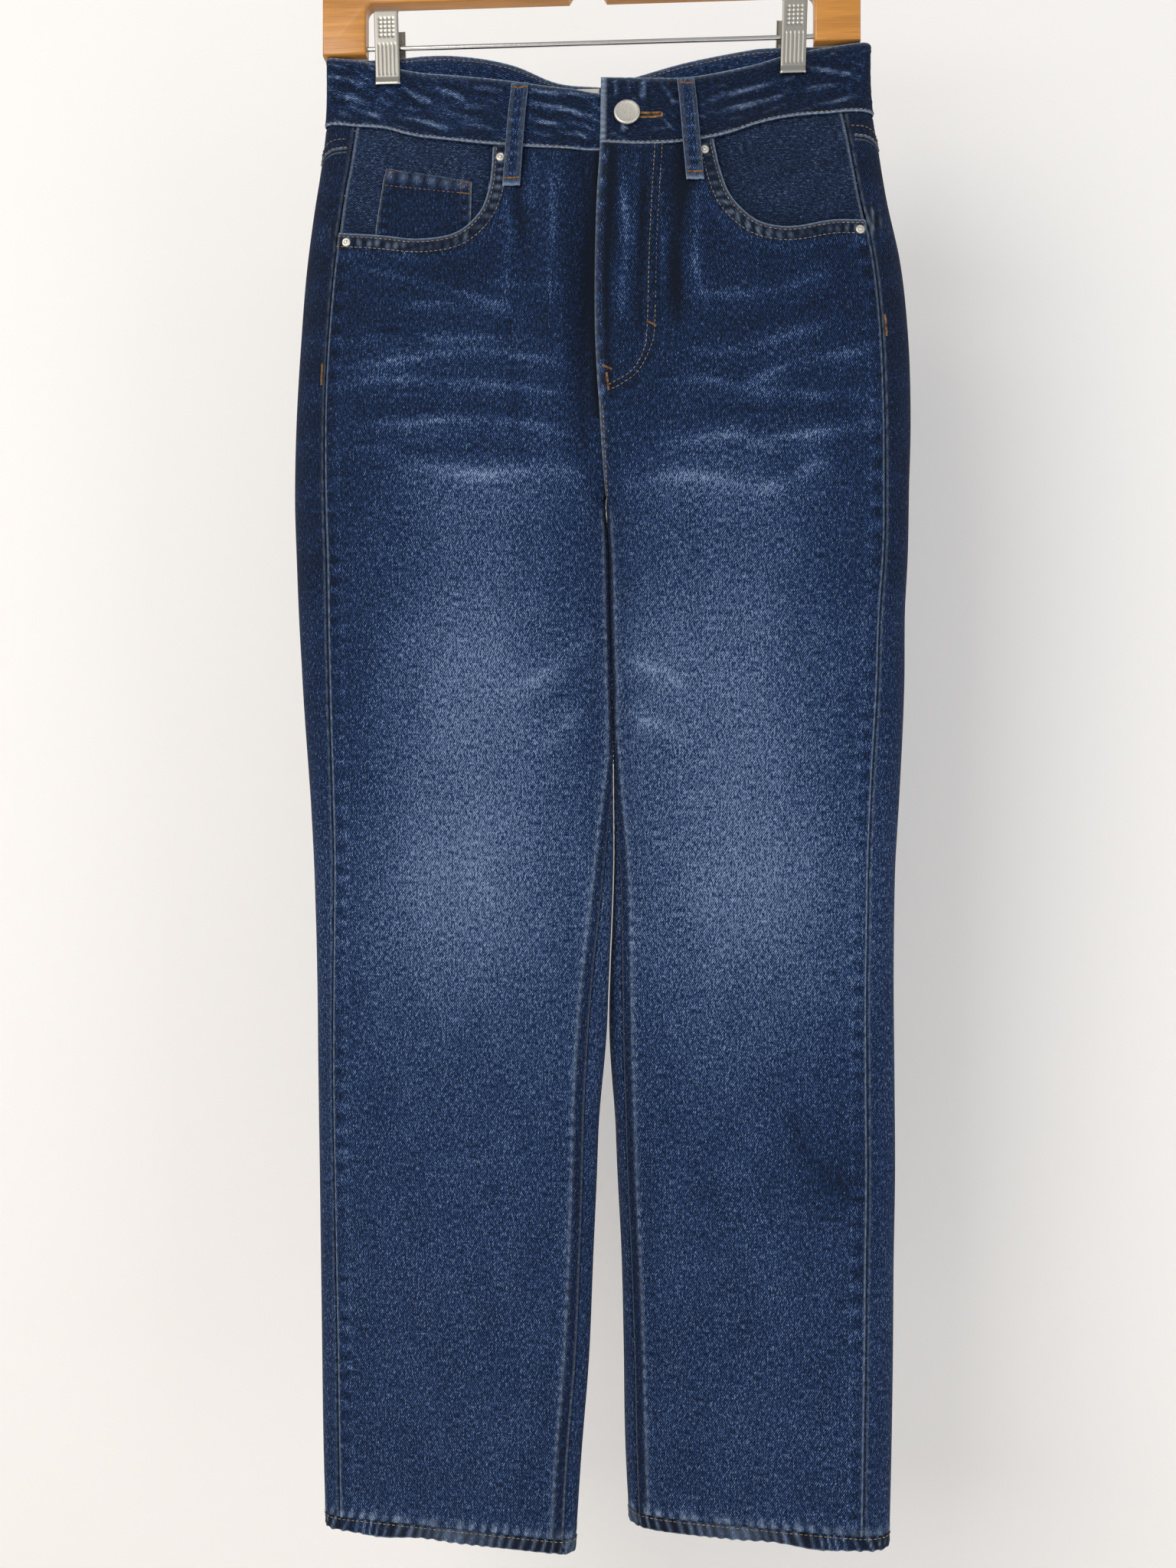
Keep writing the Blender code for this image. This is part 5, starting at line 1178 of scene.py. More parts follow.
# Hems.  The foot of each leg turned up twice and stitched once; washing twists the doubled
# cloth, which leaves slanting ridges all round that rub pale.
HEM_OUT = 0.4
HEM_IN = -2.2
HEM_ROUND = 0.5 * (HEM_OUT - HEM_IN)
FACE_ROWS = 8
HEM_COLUMNS = 301
for half, side in (("l", "left"), ("r", "right")):
    foot_z = HEM_EDGE[half]
    turn = np.radians(np.linspace(0, 180, 9))[1:-1]
    high = np.linspace(HEM_TALL, HEM_ROUND, FACE_ROWS)
    offs = np.concatenate((high, HEM_ROUND - HEM_ROUND * np.sin(turn), high[::-1]))
    lifts = np.concatenate((np.full(FACE_ROWS, HEM_OUT), HEM_OUT - HEM_ROUND + HEM_ROUND * np.cos(turn),
                            np.full(FACE_ROWS, HEM_IN)))
    lifts[0] -= 0.5
    share = np.linspace(-1.0, 1.0, HEM_COLUMNS)
    z = np.broadcast_to((foot_z + offs)[:, None], (len(offs), len(share)))
    w = at_share(half, share[None, :], z)
    w[:, 0], w[:, -1] = -1.0, 1.0
    p, n = form(half, w, z)[0], outward(half, w, z)
    s = girth(half, w, z)
    slant = s - 0.3 * (z - foot_z) + 3.0 * ripple(s, 43.0, 1.1)
    ridges = np.exp(-(ripple(slant, 13.5, 0.7) / 0.34) ** 2) * (0.6 + 0.4 * ripple(s, 29.0, 1.2))
    bulge = (0.9 * ridges - 0.4) * np.clip((lifts - HEM_IN) / (HEM_OUT - HEM_IN), 0, 1)[:, None]
    bulge = bulge - 0.6 * hump(s, 0, 0.8) * (lifts > -1)[:, None]
    points = p + n * (lifts[:, None] + bulge)[..., None]
    dip = 0.5 * ripple(s, 8.2, 1.3) - 1.6 * hump(s, 30.0, 16.0) + 1.0 * hump(s, 62.0, 16.0)
    points[..., 2] += dip * np.clip(1 - (z - foot_z) / HEM_TALL, 0, 1) ** 1.5
    points[:, -1] = points[:, 0] = 0.5 * (points[:, 0] + points[:, -1])
    row = np.arange(len(offs))
    turned = (row >= FACE_ROWS) & (row < FACE_ROWS + len(turn))
    out = n * np.where(turned, 0.0, np.where(lifts > -1, 1.0, -1.0))[:, None, None]
    fade = -0.14 + 0.66 * ridges + 0.34 * hump(s, 17.0, 13.0) + 0.05 * ripple(s, 17.0, 0.4)
    rub = 0.34 * ridges * (lifts > -1)[:, None] + 0.5 * turned[:, None] * (0.6 + 0.4 * ripple(s, 5.0, 0.2))
    fold = np.cumsum(np.concatenate(([0.0], np.hypot(np.diff(offs), np.diff(lifts)))))
    weave = weave_map(half, s, np.broadcast_to(-fold[:, None], s.shape))
    hem = lay_cloth("denim_hem_" + side, points, out, weave, np.clip(fade, -0.3, 1), np.clip(rub, 0, 1),
                    (WASHED_TWILL,), thick=0.7)
    bm = bmesh.new()
    bm.from_mesh(hem.data)
    bmesh.ops.remove_doubles(bm, verts=bm.verts, dist=0.00002)
    bm.to_mesh(hem.data)
    bm.free()
    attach(hem, "root")
    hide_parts("hem_" + side)

# Stitching.  Lockstitch rows in three threads, tan at the mouths and the fly, rust at the hems
# and tacks and dark along the band and loops, all sewn through the finished edges.
STITCH_PITCH = 3.3
STITCH_LONG = 2.7
STITCH_THICK = 0.52
THREAD_OUT = 0.12


def thread_look(name, dark, light):
    look, tree, shader = new_look(name)
    spot = node(tree, "ShaderNodeTexCoord").outputs["Object"]
    tone = maths(tree, "MULTIPLY_ADD", stretched_noise(tree, spot, (420, 420, 420), 2.0, 0.7), 3.0, -1.0, clamp=True)
    feed(shader, {"Base Color": blend_colours(tree, tone, dark + (1.0,), light + (1.0,)), "Roughness": 0.75,
                  "Specular IOR Level": 0.2})
    return look


THREADS = {
    "tan": thread_look("tan_thread", (0.15, 0.105, 0.058), (0.42, 0.315, 0.18)),
    "rust": thread_look("rust_thread", (0.075, 0.040, 0.016), (0.33, 0.18, 0.072)),
    "dark": thread_look("dark_thread", (0.008, 0.007, 0.008), (0.085, 0.058, 0.038)),
}
sewing = {thread: bmesh.new() for thread in THREADS}


def sew(thread, points, ways, pitch=STITCH_PITCH, long=STITCH_LONG, thick=STITCH_THICK, turn=0.0):
    """A row of stitches, thin rounded grains, along points that lie on the cloth."""
    points, ways = np.asarray(points, float), np.asarray(ways, float)
    arc = np.concatenate(([0.0], np.cumsum(np.linalg.norm(np.diff(points, axis=0), axis=1))))
    middles = np.arange(pitch * 0.5, arc[-1], pitch)
    row = bmesh.new()
    for s in middles:
        ahead, here, behind = ([np.interp(t, arc, points[:, k]) for k in range(3)]
                               for t in (s + 0.4 * pitch, s, s - 0.4 * pitch))
        up = Vector([np.interp(s, arc, ways[:, k]) for k in range(3)]).normalized()
        way = (Vector(ahead) - Vector(behind)).normalized()
        side = up.cross(way).normalized()
        if turn:
            way, side = side, -way
        up = way.cross(side)
        frame_here = Matrix((way * long / 2, side * thick / 2, up * thick / 2)).transposed().to_4x4()
        bmesh.ops.create_icosphere(row, subdivisions=1, radius=1.0, matrix=Matrix.Translation(here) @ frame_here)
    mesh = mesh_of("row", row)
    sewing[thread].from_mesh(mesh)
    bpy.data.meshes.remove(mesh)


def sew_on_cloth(thread, half, w, z, out=THREAD_OUT, **size):
    sew(thread, *cloth(half, w, z, out), **size)


def sew_line(thread, half, face, line, out=THREAD_OUT, **size):
    """A row along points in the picture's plane, laid on the worn cloth."""
    sew_on_cloth(thread, half, place(half, face, line[:, 0], line[:, 1]), line[:, 1], out, **size)


def tack(across):
    """A bar tack is the same stitch worked densely over a short line, turned across it."""
    return {"pitch": 0.62, "long": across, "thick": 0.6, "turn": 1.0}


for half, sign in (("l", 1.0), ("r", -1.0)):
    for inset in (2.6, 9.6):
        row = beside_curve(MOUTH_LINE[half], sign, inset)
        w = place(half, "front", row[:, 0], row[:, 1])
        row = row[(w > 0.012) & (row[:, 1] < band_height(half, "front", "seam", row[:, 0]) - 1.0)]
        sew_line("tan", half, "front", row)
    hem_top = HEM_EDGE[half] + HEM_TALL
    levels = np.linspace(CROTCH_Z - 12.0, hem_top + 1.0, 240)
    for inset in (2.2, 7.4):
        sew_on_cloth("dark", half, beside(half, "front", inset, levels), levels)
    level = np.full(400, hem_top - 1.3)
    w = at_share(half, np.linspace(-0.999, 0.999, 400), level)
    n = outward(half, w, level)
    sew("tan", form(half, w, level)[0] + n * (HEM_OUT + 0.1), n)
    w = np.linspace(-0.985, -0.02, 120)
    for above in (1.7, 8.0):
        sew_on_cloth("tan", half, w, yoke_height(w) + above)

levels = np.linspace(-222.0, CROTCH_Z + 8.0, 90)
for inset in (2.0, 8.2):
    sew_on_cloth("tan", "r", beside("r", "back", inset, levels), levels)
FLY_INNER = ((43.6, -212.0), (43.4, -220.5), (40.3, -282.4), (38.8, -340.7), (36.2, -357.6),
             (27.9, -370.9), (11.9, -380.0))
sew_line("tan", "r", "front", fine_curve(FLY_CURVE[1:], 90) + np.array((-0.6, 1.2)))
sew_line("tan", "r", "front", fine_curve(FLY_INNER, 90) + np.array((0.4, 0.0)))
levels = np.linspace(-216.0, -382.0, 60)
sew_on_cloth("dark", "r", beside("r", "front", 5.5, levels), levels)
levels = np.linspace(-392.0, CROTCH_Z - 4.0, 30)
sew_on_cloth("tan", "r", beside("r", "front", 2.6, levels), levels)

FLY_TACKS = ((9.0, -366.5, 15.5, -369.5), (12.0, -371.5, 13.4, -383.0), (38.8, -338.0, 45.0, -341.0))
for x0, z0, x1, z1 in FLY_TACKS:
    sew_line("rust", "r", "front", np.linspace((x0, z0), (x1, z1), 12), 0.3, **tack(2.0))
for half, middle in (("l", -367.0), ("r", -340.0)):
    levels = np.linspace(middle + 7.5, middle - 7.5, 20)
    sew_on_cloth("rust", half, beside(half, "side", -3.0, levels), levels, 0.3, **tack(2.2))

for half in "lr":
    w = np.linspace(-1.0, 0.985, 420)
    top, seam = band_edges(half, w)
    keep = w < (0.9 if half == "l" else 1.0)
    for thread, level in (("dark", top - 2.4), ("tan", seam + 1.9)):
        row, n = on_band(half, w, level, BAND_OUT + THREAD_OUT)
        sew(thread, row[keep], n[keep])
    w = np.linspace(-1.0, -0.05, 200)
    row, n = on_band(half, w, band_edges(half, w)[0] - 3.2, BAND_IN - THREAD_OUT)
    sew("tan", row, -n)
level = np.linspace(-168.0, -209.0, 30)
sew("dark", *on_band("r", place("r", "front", np.full(30, 11.2), level), level, BAND_OUT + THREAD_OUT))

# Buttonhole, worked densely along both lips and round its outer end; near-black thread grains along the slit between
# paint the shade in its cut
HOLE_X = (33.5, 47.5)
HOLE_Z = -192.6
HOLE_HALF = 1.5
ring = [(HOLE_X[0] + (HOLE_X[1] - HOLE_X[0]) * t, HOLE_Z + HOLE_HALF) for t in np.linspace(0, 1, 24)]
ring += [(HOLE_X[1] + HOLE_HALF * math.cos(a), HOLE_Z + HOLE_HALF * math.sin(a))
         for a in np.linspace(math.pi / 2, -math.pi / 2, 9)]
ring += [(HOLE_X[0] + (HOLE_X[1] - HOLE_X[0]) * t, HOLE_Z - HOLE_HALF) for t in np.linspace(1, 0, 24)]
slit = np.linspace((HOLE_X[0], HOLE_Z), (HOLE_X[1], HOLE_Z), 20)
for line, thread, options in (
    (np.array(ring), "rust", {"pitch": 0.5, "long": 2.3, "thick": 0.62, "turn": 1.0}),
    (slit, "dark", {"pitch": 0.8, "long": 1.5, "thick": 0.7}),
):
    w = place("r", "front", line[:, 0], line[:, 1])
    sew(thread, *on_band("r", w, line[:, 1], BAND_OUT + 0.15), **options)

for _, *strap_line in STRAPS:
    for a in (-0.6, 0.6):
        points, ways = strap_spots(*strap_line, np.full(40, a), np.linspace(0.03, 0.97, 40))
        sew("dark", points + ways * 0.1, ways)
    for t in (0.045, 0.93):
        points, ways = strap_spots(*strap_line, np.linspace(-0.85, 0.85, 18), np.full(18, t))
        sew("rust", points + ways * 0.15, ways, **tack(1.9))


def sew_coin(thread, a, b, **size):
    a, b = np.broadcast_arrays(np.asarray(a, float), np.asarray(b, float))
    x, z = coin_spot(a, b)
    keep = mouth_depth("l", x, z) > 4.0
    w = place("l", "front", x, z)
    points, ways = cloth("l", w, z, coin_rise(a, b, x, z) + THREAD_OUT, under=True)
    sew(thread, points[keep], ways[keep], **size)


t = np.linspace(0.0, 1.0, 60)
COIN_ROWS = (1.6, 7.2)
sew_coin("rust", 0.03 + 0.94 * t, 11.6 / COIN_TALL)
sew_coin("dark", 1.8 / COIN_WIDE, t)
for inset in COIN_ROWS:
    sew_coin("dark", 1 - inset / COIN_WIDE, t)
    sew_coin("rust", 1 - inset / COIN_WIDE, np.linspace(2.0, 12.0, 12) / COIN_TALL, thick=0.6)
for first, last, below, across in ((0.03, 0.14, 2.6, 1.8), (0.87, 0.98, 2.2, 1.3), (0.87, 0.98, 11.6, 1.3)):
    sew_coin("rust", np.linspace(first, last, 9), below / COIN_TALL, **tack(across))


def sew_patch(thread, row, a, b, out=THREAD_OUT, **size):
    half = row[0][0]
    x, z = patch_spot(row, a, b)
    sew_on_cloth(thread, half, place(half, "back", x, z), z, patch_rise(a, b, x, z) + out, **size)


for row in BACK_POCKETS:
    for inset in (2.0, 8.2):
        side_a = 1 - inset / PATCH_HALF
        foot_b = 1 - inset / PATCH_TALL
        a = np.concatenate((np.full(40, side_a), np.linspace(side_a, -side_a, 60), np.full(40, -side_a)))
        b = np.concatenate((np.linspace(0.01, foot_b, 40), np.full(60, foot_b), np.linspace(foot_b, 0.01, 40)))
        sew_patch("tan", row, a, b)
    sew_patch("tan", row, np.linspace(-0.97, 0.97, 60), np.full(60, 20.5 / PATCH_TALL))
    for end in (-0.94, 0.94):
        sew_patch("rust", row, np.full(12, end), np.linspace(0.01, 0.09, 12), 0.2, **tack(2.2))

for thread, bm in sewing.items():
    bmesh.ops.scale(bm, vec=(MM, MM, MM), verts=bm.verts)
    for face in bm.faces:
        face.smooth = True
    stitches = linked("sewing_" + thread, mesh_of("sewing_" + thread, bm, THREADS[thread]))
    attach(stitches, "root")

# Button and rivets.  Struck from dull pewter-coloured metal; the button is a bare dished disc
# with a rolled rim, and each rivet is a small domed burr pressed through the pocket's corner.
PEWTER, pewter_tree, pewter_shader = new_look("dull_pewter")
pewter_place = node(pewter_tree, "ShaderNodeTexCoord").outputs["Object"]
pewter_grime = stretched_noise(pewter_tree, pewter_place, (900, 900, 900), 3.0, 0.65)
pewter_tone = maths(pewter_tree, "MULTIPLY_ADD", pewter_grime, 2.4, -0.75, clamp=True)
feed(pewter_shader, {
    "Base Color": blend_colours(pewter_tree, pewter_tone, (0.46, 0.42, 0.35, 1), (0.72, 0.69, 0.63, 1)),
    "Roughness": maths(pewter_tree, "MULTIPLY_ADD", pewter_tone, -0.2, 0.55), "Metallic": 0.85})
BUTTON = (25.1, -191.9)
BUTTON_PROFILE = ((0.0, 2.75), (3.2, 2.75), (6.0, 2.8), (7.0, 2.95), (7.8, 3.1), (8.4, 2.95), (8.8, 2.6),
                  (9.0, 2.0), (8.9, 1.3), (8.3, 0.5), (6.6, 0.1), (0.0, 0.0))
RIVETS = (("left_inner", -61.0, -220.5), ("left_outer", -166.5, -277.6), ("right_inner", 77.5, -218.6),
          ("right_outer", 181.5, -276.0))
RIVET_PROFILE = ((0.0, 1.75), (0.8, 1.7), (1.3, 1.3), (1.5, 1.0), (1.9, 1.15), (2.5, 1.05), (3.0, 0.7),
                 (3.25, 0.2), (3.2, -0.4), (0.0, -0.4))


def smooth_object(name, bm, look, sharp=40.0):
    """Object from a bmesh, in millimetres, with its normals made outward and its edges smooth."""
    bmesh.ops.recalc_face_normals(bm, faces=bm.faces)
    bmesh.ops.scale(bm, vec=(MM, MM, MM), verts=bm.verts)
    for face in bm.faces:
        face.smooth = True
    for edge in bm.edges:
        edge.smooth = len(edge.link_faces) == 2 and edge.calc_face_angle(0.0) < math.radians(sharp)
    return linked(name, mesh_of(name, bm, look))


def spun(profile, sides):
    """Bmesh of a profile of (radius, height) turned a full circle about +Z."""
    bm = bmesh.new()
    line = [bm.verts.new((radius, 0.0, height)) for radius, height in profile]
    edges = [bm.edges.new(pair) for pair in zip(line[:-1], line[1:])]
    bmesh.ops.spin(bm, geom=line + edges, cent=(0, 0, 0), axis=(0, 0, 1), angle=2 * math.pi, steps=sides,
                   use_merge=True)
    bmesh.ops.remove_doubles(bm, verts=bm.verts, dist=0.0005)
    return bm


def stand_on(bm, half, x, z, lift):
    """Move a turned piece from +Z up to stand on the front of the cloth at x, z."""
    w = place(half, "front", x, z)
    n = Vector(outward(half, w, z))
    spot = Vector(form(half, w, z)[0]) + n * lift
    turn = n.to_track_quat("Z", "Y").to_matrix().to_4x4()
    bmesh.ops.transform(bm, matrix=Matrix.Translation(spot) @ turn, verts=bm.verts)


bm = spun(BUTTON_PROFILE, 64)
stand_on(bm, "r", *BUTTON, BAND_OUT + 0.45)
button = smooth_object("trim_button", bm, PEWTER, 60.0)
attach(button, "root")
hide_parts("waist_button")
for name, x, z in RIVETS:
    bm = spun(RIVET_PROFILE, 32)
    stand_on(bm, name[0], x, z, 0.5)
    rivet = smooth_object("trim_rivet_" + name, bm, PEWTER, 60.0)
    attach(rivet, "root")
    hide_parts("rivet_" + name)

# Hanger board.  One plank of pale wood under honey varnish, sawn to a low arch with square
# ends that reach down beside the opening, its edges rounded over.
BOARD_X = (-187.0, 184.0)
BOARD_THICK = 13.0
BOARD_FOOT = -141.0
OPENING_X = (-156.6, 152.6)
OPENING_TOP = -106.0
OPENING_ROUND = 6.0
SHOULDER_Z = -84.0
CROWN_Z = -58.0
NOTCH_X = -2.5
NOTCH_WIDE = 26.0
NOTCH_TALL = 6.0
HONEY, tree, honey_shader = new_look("honey_wood")
board_place = node(tree, "ShaderNodeTexCoord").outputs["Object"]
grain_wave = stretched_noise(tree, board_place, (7, 60, 95), 3.0, 0.6)
grain_fine = stretched_noise(tree, board_place, (38, 700, 900), 2.0, 0.6)
grain_tone = maths(tree, "ADD", maths(tree, "MULTIPLY", grain_wave, 0.75), maths(tree, "MULTIPLY", grain_fine, 0.4))
honey_tone = maths(tree, "MULTIPLY_ADD", grain_tone, 2.2, -0.75, clamp=True)
feed(honey_shader, {
    "Base Color": blend_colours(tree, honey_tone, (0.30, 0.115, 0.018, 1), (0.60, 0.26, 0.042, 1)),
    "Normal": bumped(tree, 0.12, 0.0005, grain_fine),
    "Roughness": 0.32, "Coat Weight": 0.12, "Coat Roughness": 0.2})
ARCH_STEPS = 56


def opening_corner(x, way):
    """Rounded upper corner of the opening, from its side to its top."""
    turns = [math.radians(15 * k) for k in range(7)]
    return [(x + way * OPENING_ROUND * (1 - math.cos(a)), OPENING_TOP - OPENING_ROUND * (1 - math.sin(a)))
            for a in turns]


outline = []
for k in range(ARCH_STEPS + 1):
    t = k / ARCH_STEPS
    outline.append((BOARD_X[0] + (BOARD_X[1] - BOARD_X[0]) * t,
                    SHOULDER_Z + (CROWN_Z - SHOULDER_Z) * math.sin(math.pi * t) ** 0.8))
outline += [(BOARD_X[1], BOARD_FOOT), (OPENING_X[1], BOARD_FOOT)] + opening_corner(OPENING_X[1], -1)
outline += [(NOTCH_X + NOTCH_WIDE / 2, OPENING_TOP), (NOTCH_X + NOTCH_WIDE / 2 - 4, OPENING_TOP + NOTCH_TALL),
            (NOTCH_X - NOTCH_WIDE / 2 + 4, OPENING_TOP + NOTCH_TALL), (NOTCH_X - NOTCH_WIDE / 2, OPENING_TOP)]
outline += opening_corner(OPENING_X[0], 1)[::-1] + [(OPENING_X[0], BOARD_FOOT), (BOARD_X[0], BOARD_FOOT)]
bm = bmesh.new()
face = bm.faces.new([bm.verts.new((x, -BOARD_THICK / 2, z)) for x, z in outline])
grown = bmesh.ops.extrude_face_region(bm, geom=[face])["geom"]
bmesh.ops.translate(bm, vec=(0, BOARD_THICK, 0), verts=[g for g in grown if isinstance(g, bmesh.types.BMVert)])
bmesh.ops.recalc_face_normals(bm, faces=bm.faces)
rims = [e for e in bm.edges if abs(e.verts[0].co.y - e.verts[1].co.y) < 1e-6]
bmesh.ops.bevel(bm, geom=rims, offset=1.7, segments=4, profile=0.5, affect="EDGES", material=-1)
board = smooth_object("wood_board", bm, HONEY, 32.0)
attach(board, "root")
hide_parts("hanger_board")

# Rod and hook.  A thin bright rod let into the board's ends carries the clips, and a bent wire
# hook is screwed into its crown; the photograph cuts the hook off, so it is finished plainly.
ROD_Z = -135.0
ROD_R = 1.65
HOOK_R = 1.9
HOOK_BEND = 22.0


def plain_metal(name, colour, rough, brushed=0.0):
    look, tree, shader = new_look(name)
    spot = node(tree, "ShaderNodeTexCoord").outputs["Object"]
    smear = stretched_noise(tree, spot, (260, 260, 60), 3.0, 0.6)
    feed(shader, {"Base Color": colour + (1.0,), "Metallic": 1.0,
                  "Roughness": maths(tree, "MULTIPLY_ADD", smear, 0.12, rough - 0.06)})
    if brushed:
        lines = stretched_noise(tree, spot, (2600, 2600, 40), 2.0, 0.7)
        feed(shader, {"Normal": bumped(tree, brushed, 0.0003, lines)})
    return look


BRIGHT = plain_metal("bright_rod", (0.62, 0.61, 0.59), 0.20)


def swept(name, spine, radius, look, sides=20):
    """Round bar swept along a run of points by extruding a ring from each point to the next."""
    bm = bmesh.new()
    spine = [Vector(p) for p in spine]
    ring = None
    for k, p in enumerate(spine):
        way = (spine[min(k + 1, len(spine) - 1)] - spine[max(k - 1, 0)]).normalized()
        side = Vector((0.0, 1.0, 0.0))
        out = way.cross(side)
        turn = Matrix((side, out, way)).transposed().to_4x4()
        if ring is None:
            made = bmesh.ops.create_circle(bm, cap_ends=True, radius=radius, segments=sides,
                                           matrix=Matrix.Translation(p) @ turn)
            ring = made["verts"]
            last = p, turn
            continue
        faces = [f for f in bm.faces if all(v in ring for v in f.verts)]
        grown = bmesh.ops.extrude_face_region(bm, geom=faces)["geom"]
        ring = [g for g in grown if isinstance(g, bmesh.types.BMVert)]
        move = Matrix.Translation(p) @ turn @ (Matrix.Translation(last[0]) @ last[1]).inverted()
        bmesh.ops.transform(bm, matrix=move, verts=ring)
        bmesh.ops.delete(bm, geom=[f for f in faces if k > 1 and f.is_valid], context="FACES_ONLY")
        last = p, turn
    bmesh.ops.remove_doubles(bm, verts=bm.verts, dist=0.001)
    return smooth_object(name, bm, look, 50.0)


hook = []
for k in range(41):
    a = math.radians(-30 + 240 * k / 40)
    hook.append((HOOK_BEND * math.cos(a), 0.0, HOOK_R - HOOK_BEND + HOOK_BEND * math.sin(a)))
neck = hook[-1]
for k in range(1, 13):
    t = k / 12
    bend = t * t * (3 - 2 * t)
    hook.append((neck[0] * (1 - bend), 0.0, neck[2] - 18.0 * t + 3.0 * math.sin(math.pi * t)))
hook.append((0.0, 0.0, CROWN_Z - 12.0))
hook_wire = swept("metal_hook", hook, HOOK_R, BRIGHT)
rod = swept("metal_rod", ((OPENING_X[0] - 8.8, 0, ROD_Z), (OPENING_X[1] + 8.8, 0, ROD_Z)), ROD_R, BRIGHT)
for piece, replaced in ((hook_wire, "hanger_hook"), (rod, "hanger_rod")):
    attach(piece, "root")
    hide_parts(replaced)

# Clips.  Two pressed nickel jaws pinch the waistband, sprung by a sleeve on the rod; the front
# jaw has a pad of small dimples near its top and pressed grooves above a curled lip.
CLIP_WIDE = 17.0
JAW_IN = 3.6
SLEEVE_R = 3.25
FRONT_JAW = ((0.2, -110.9), (1.3, -110.5), (1.5, -111.2), (1.5, -157.0), (2.3, -159.3), (2.9, -160.9),
             (2.5, -162.2), (1.5, -162.1), (0.9, -161.0))
BACK_JAW = ((1.3, -121.0), (1.5, -121.6), (1.5, -155.0), (2.2, -157.0), (2.6, -158.6), (2.0, -159.4),
            (1.1, -158.9))
SLEEVE_PROFILE = ((ROD_R + 0.15, -6.0), (SLEEVE_R - 0.3, -6.0), (SLEEVE_R, -5.6), (SLEEVE_R, -3.2),
                  (SLEEVE_R - 0.4, -2.9), (SLEEVE_R - 0.4, 2.9), (SLEEVE_R, 3.2), (SLEEVE_R, 5.6),
                  (SLEEVE_R - 0.3, 6.0), (ROD_R + 0.15, 6.0), (ROD_R + 0.15, -6.0))
NICKEL = plain_metal("brushed_nickel", (0.42, 0.395, 0.345), 0.40, 0.1)
DIMPLE_TOP = -116.5
DIMPLE_PITCH = 2.9
DIMPLE_ROWS, DIMPLE_ACROSS = 5, 4
GROOVES = (-5.6, -2.8, 0.0, 2.8, 5.6)
GROOVE_TOP, GROOVE_FOOT = -133, -156
for side, middle in CLIP_X.items():
    lean = 1.4 if side == "left" else -1.6
    inward = 1.0 if side == "left" else -1.0
    for jaw, rows, way, shift in (("front", FRONT_JAW, -1.0, 0.0), ("back", BACK_JAW, 1.0, 3.2 * inward)):
        bm = bmesh.new()
        cols, lines = (64, 100) if jaw == "front" else (24, 60)
        bmesh.ops.create_grid(bm, x_segments=cols, y_segments=lines, size=1.0)
        run = np.concatenate(([0.0], np.cumsum([math.dist(p, q) for p, q in zip(rows[:-1], rows[1:])])))
        spots = np.array([v.co[:] for v in bm.verts])
        across, along = spots[:, 0] * CLIP_WIDE / 2, (1 - spots[:, 1]) / 2 * run[-1]
        y, z = (np.interp(along, run, [r[k] for r in rows]) for k in (0, 1))
        if jaw == "front":
            for i in range(DIMPLE_ROWS):
                for j in range(DIMPLE_ACROSS):
                    dx = across - (j - (DIMPLE_ACROSS - 1) / 2) * DIMPLE_PITCH
                    y = y - 0.5 * np.exp(-(dx ** 2 + (z - DIMPLE_TOP + i * DIMPLE_PITCH) ** 2) / 0.8)
            ends = np.clip(np.minimum(z - GROOVE_FOOT, GROOVE_TOP - z) / 1.5, 0, 1)
            y = y - sum(0.4 * np.exp(-((across - g) / 0.5) ** 2) for g in GROOVES) * ends
        y = y - 0.5 * np.exp(-(CLIP_WIDE / 2 - np.abs(across)) / 0.5)
        x = middle + shift + across + lean * (ROD_Z - z) / 50.0
        for v, spot in zip(bm.verts, zip(x, way * (JAW_IN + y), z)):
            v.co = spot
        plate = smooth_object("metal_clip_" + side + "_" + jaw, bm, NICKEL, 70.0)
        facing = sum(p.normal.y * p.area for p in plate.data.polygons)
        if facing * way < 0:
            plate.data.flip_normals()
        wall = plate.modifiers.new("plate_wall", "SOLIDIFY")
        wall.thickness = 1.0 * MM
        wall.offset = -1.0
        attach(plate, "root")
        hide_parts("clip_" + side + "_" + jaw)
    bm = spun(SLEEVE_PROFILE, 32)
    turn = Matrix.Rotation(math.radians(90), 4, "Y")
    bmesh.ops.transform(bm, matrix=Matrix.Translation((middle, 0, ROD_Z)) @ turn, verts=bm.verts)
    sleeve = smooth_object("metal_sleeve_" + side, bm, NICKEL)
    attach(sleeve, "root")
    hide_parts("clip_" + side + "_spring")

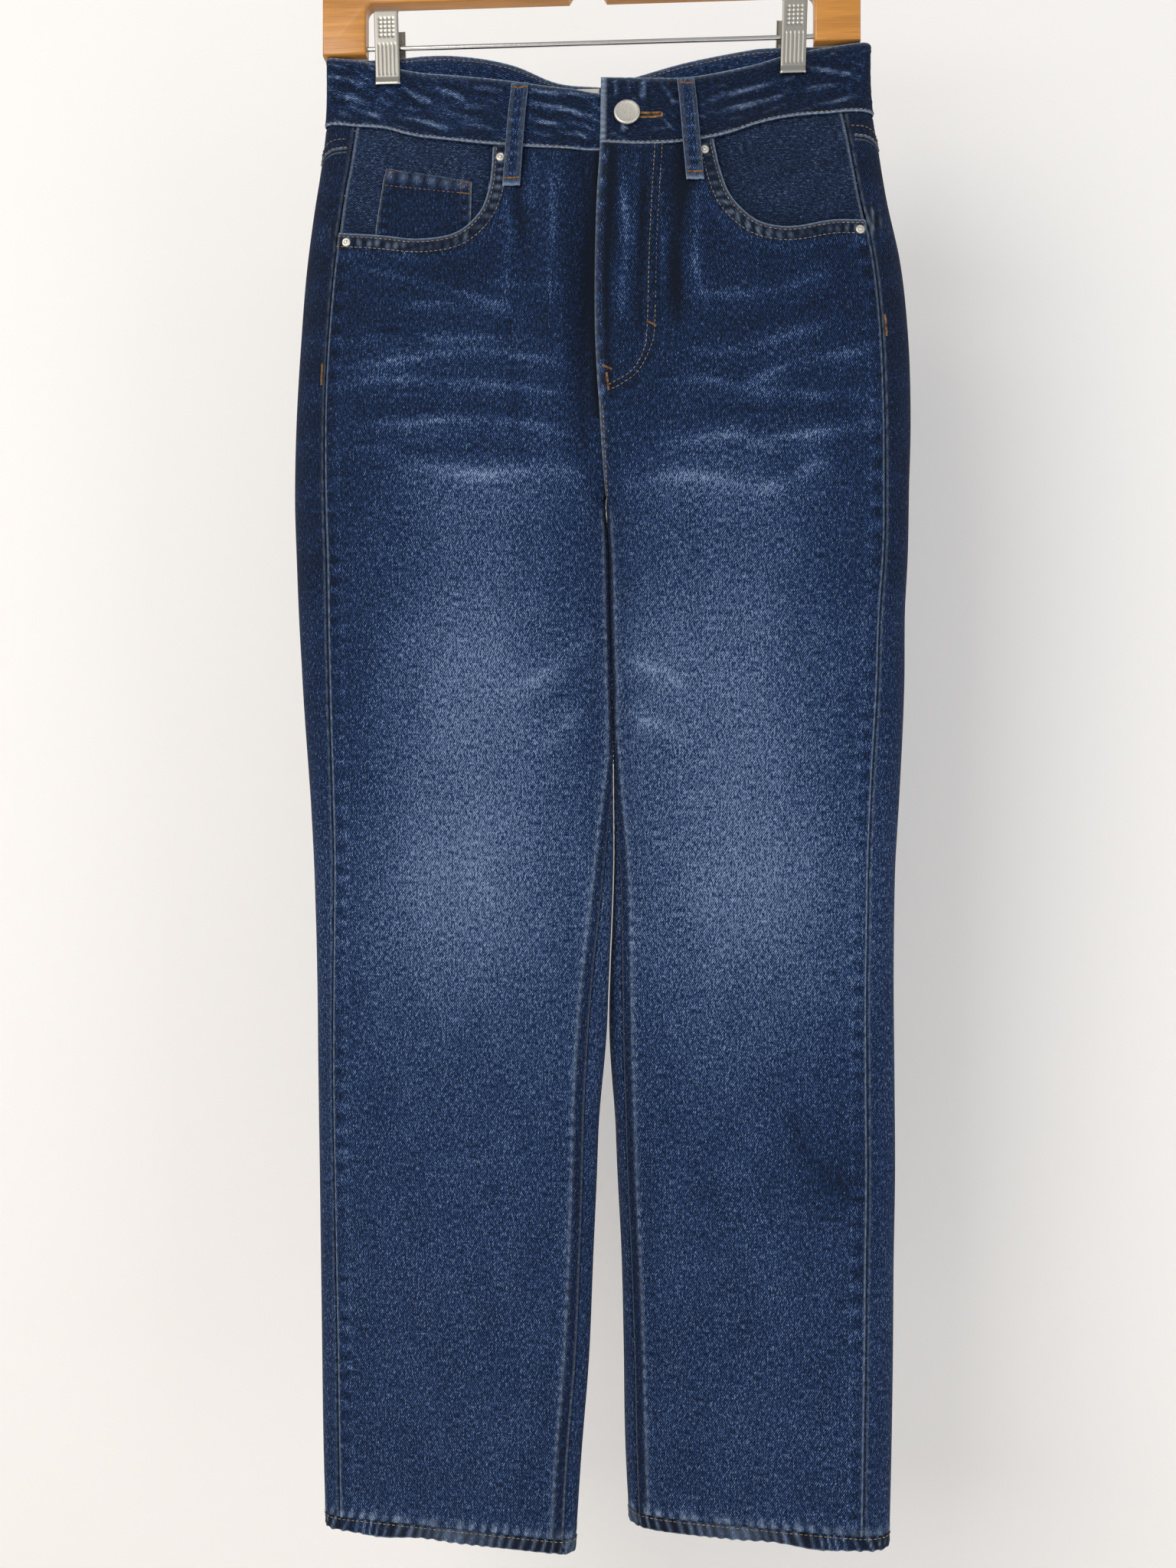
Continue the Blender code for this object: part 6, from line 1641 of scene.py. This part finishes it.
# Floor, wall, lights and camera.  A plain pale floor and a plain pale wall behind, soft studio
# light, and a camera at the photograph's angle.  The wall lets a camera behind it see through.
FLOOR_Z = -1.40
WALL_Y = 0.32
PAINT, tree, paint_shader = new_look("pale_paint")
feed(paint_shader, {"Base Color": (0.88, 0.85, 0.815, 1.0), "Roughness": 0.95})
clear = node(tree, "ShaderNodeBsdfTransparent")
behind = node(tree, "ShaderNodeNewGeometry").outputs["Backfacing"]
shown = node(tree, "ShaderNodeMixShader", {0: behind, 1: paint_shader.outputs[0], 2: clear.outputs[0]})
feed(tree.nodes["Material Output"], {"Surface": shown.outputs[0]})
for name, spin, spot, size in (
    ("stage_floor", Matrix.Identity(4), (0.0, -0.9, FLOOR_Z), (2.4, 1.3)),
    ("stage_wall", Matrix.Rotation(math.radians(90), 4, "X"), (0.0, WALL_Y, FLOOR_Z + 1.1), (2.4, 1.1)),
):
    bm = bmesh.new()
    bmesh.ops.create_grid(bm, x_segments=1, y_segments=1, size=1.0)
    bmesh.ops.scale(bm, vec=(size[0], size[1], 1.0), verts=bm.verts)
    bmesh.ops.transform(bm, matrix=Matrix.Translation(spot) @ spin, verts=bm.verts)
    sheet_of_paint = linked(name, mesh_of(name, bm, PAINT))

# Each lamp's name, place, aim, size, watts and colour
LAMPS = (
    ("key", (-0.95, -1.7, -0.05), (0.0, 0.0, -0.76), 1.2, 27.0, (1.0, 0.97, 0.93)),
    ("fill", (1.5, -1.3, -0.6), (0.0, 0.0, -0.80), 1.4, 12.0, (0.93, 0.96, 1.0)),
    ("back", (0.2, 1.6, 0.3), (0.0, 0.0, -0.65), 1.4, 16.0, (1.0, 0.99, 0.97)),
)
for name, spot, aim, size, watts, colour in LAMPS:
    lamp = bpy.data.lights.new("lamp_" + name, "AREA")
    lamp.energy = watts
    lamp.size = size
    lamp.color = colour
    stand = linked("lamp_" + name, lamp)
    stand.location = spot
    stand.rotation_euler = (Vector(aim) - Vector(spot)).to_track_quat("-Z", "Y").to_euler()
world = bpy.data.worlds.new("room_light")
world.use_nodes = True
world.node_tree.nodes["Background"].inputs["Color"].default_value = (0.90, 0.94, 1.0, 1.0)
world.node_tree.nodes["Background"].inputs["Strength"].default_value = 0.55
bpy.context.scene.world = world
bpy.context.scene.view_settings.view_transform = "Standard"
eye = bpy.data.cameras.new("photo_camera")
eye.sensor_width = 36.0
eye.lens = 33.17
tripod = linked("photo_camera", eye)
tripod.location = (0.0552, -0.9983, -0.6477)
tripod.rotation_euler = (math.radians(90.0), 0.0, math.radians(3.3))
bpy.context.scene.camera = tripod
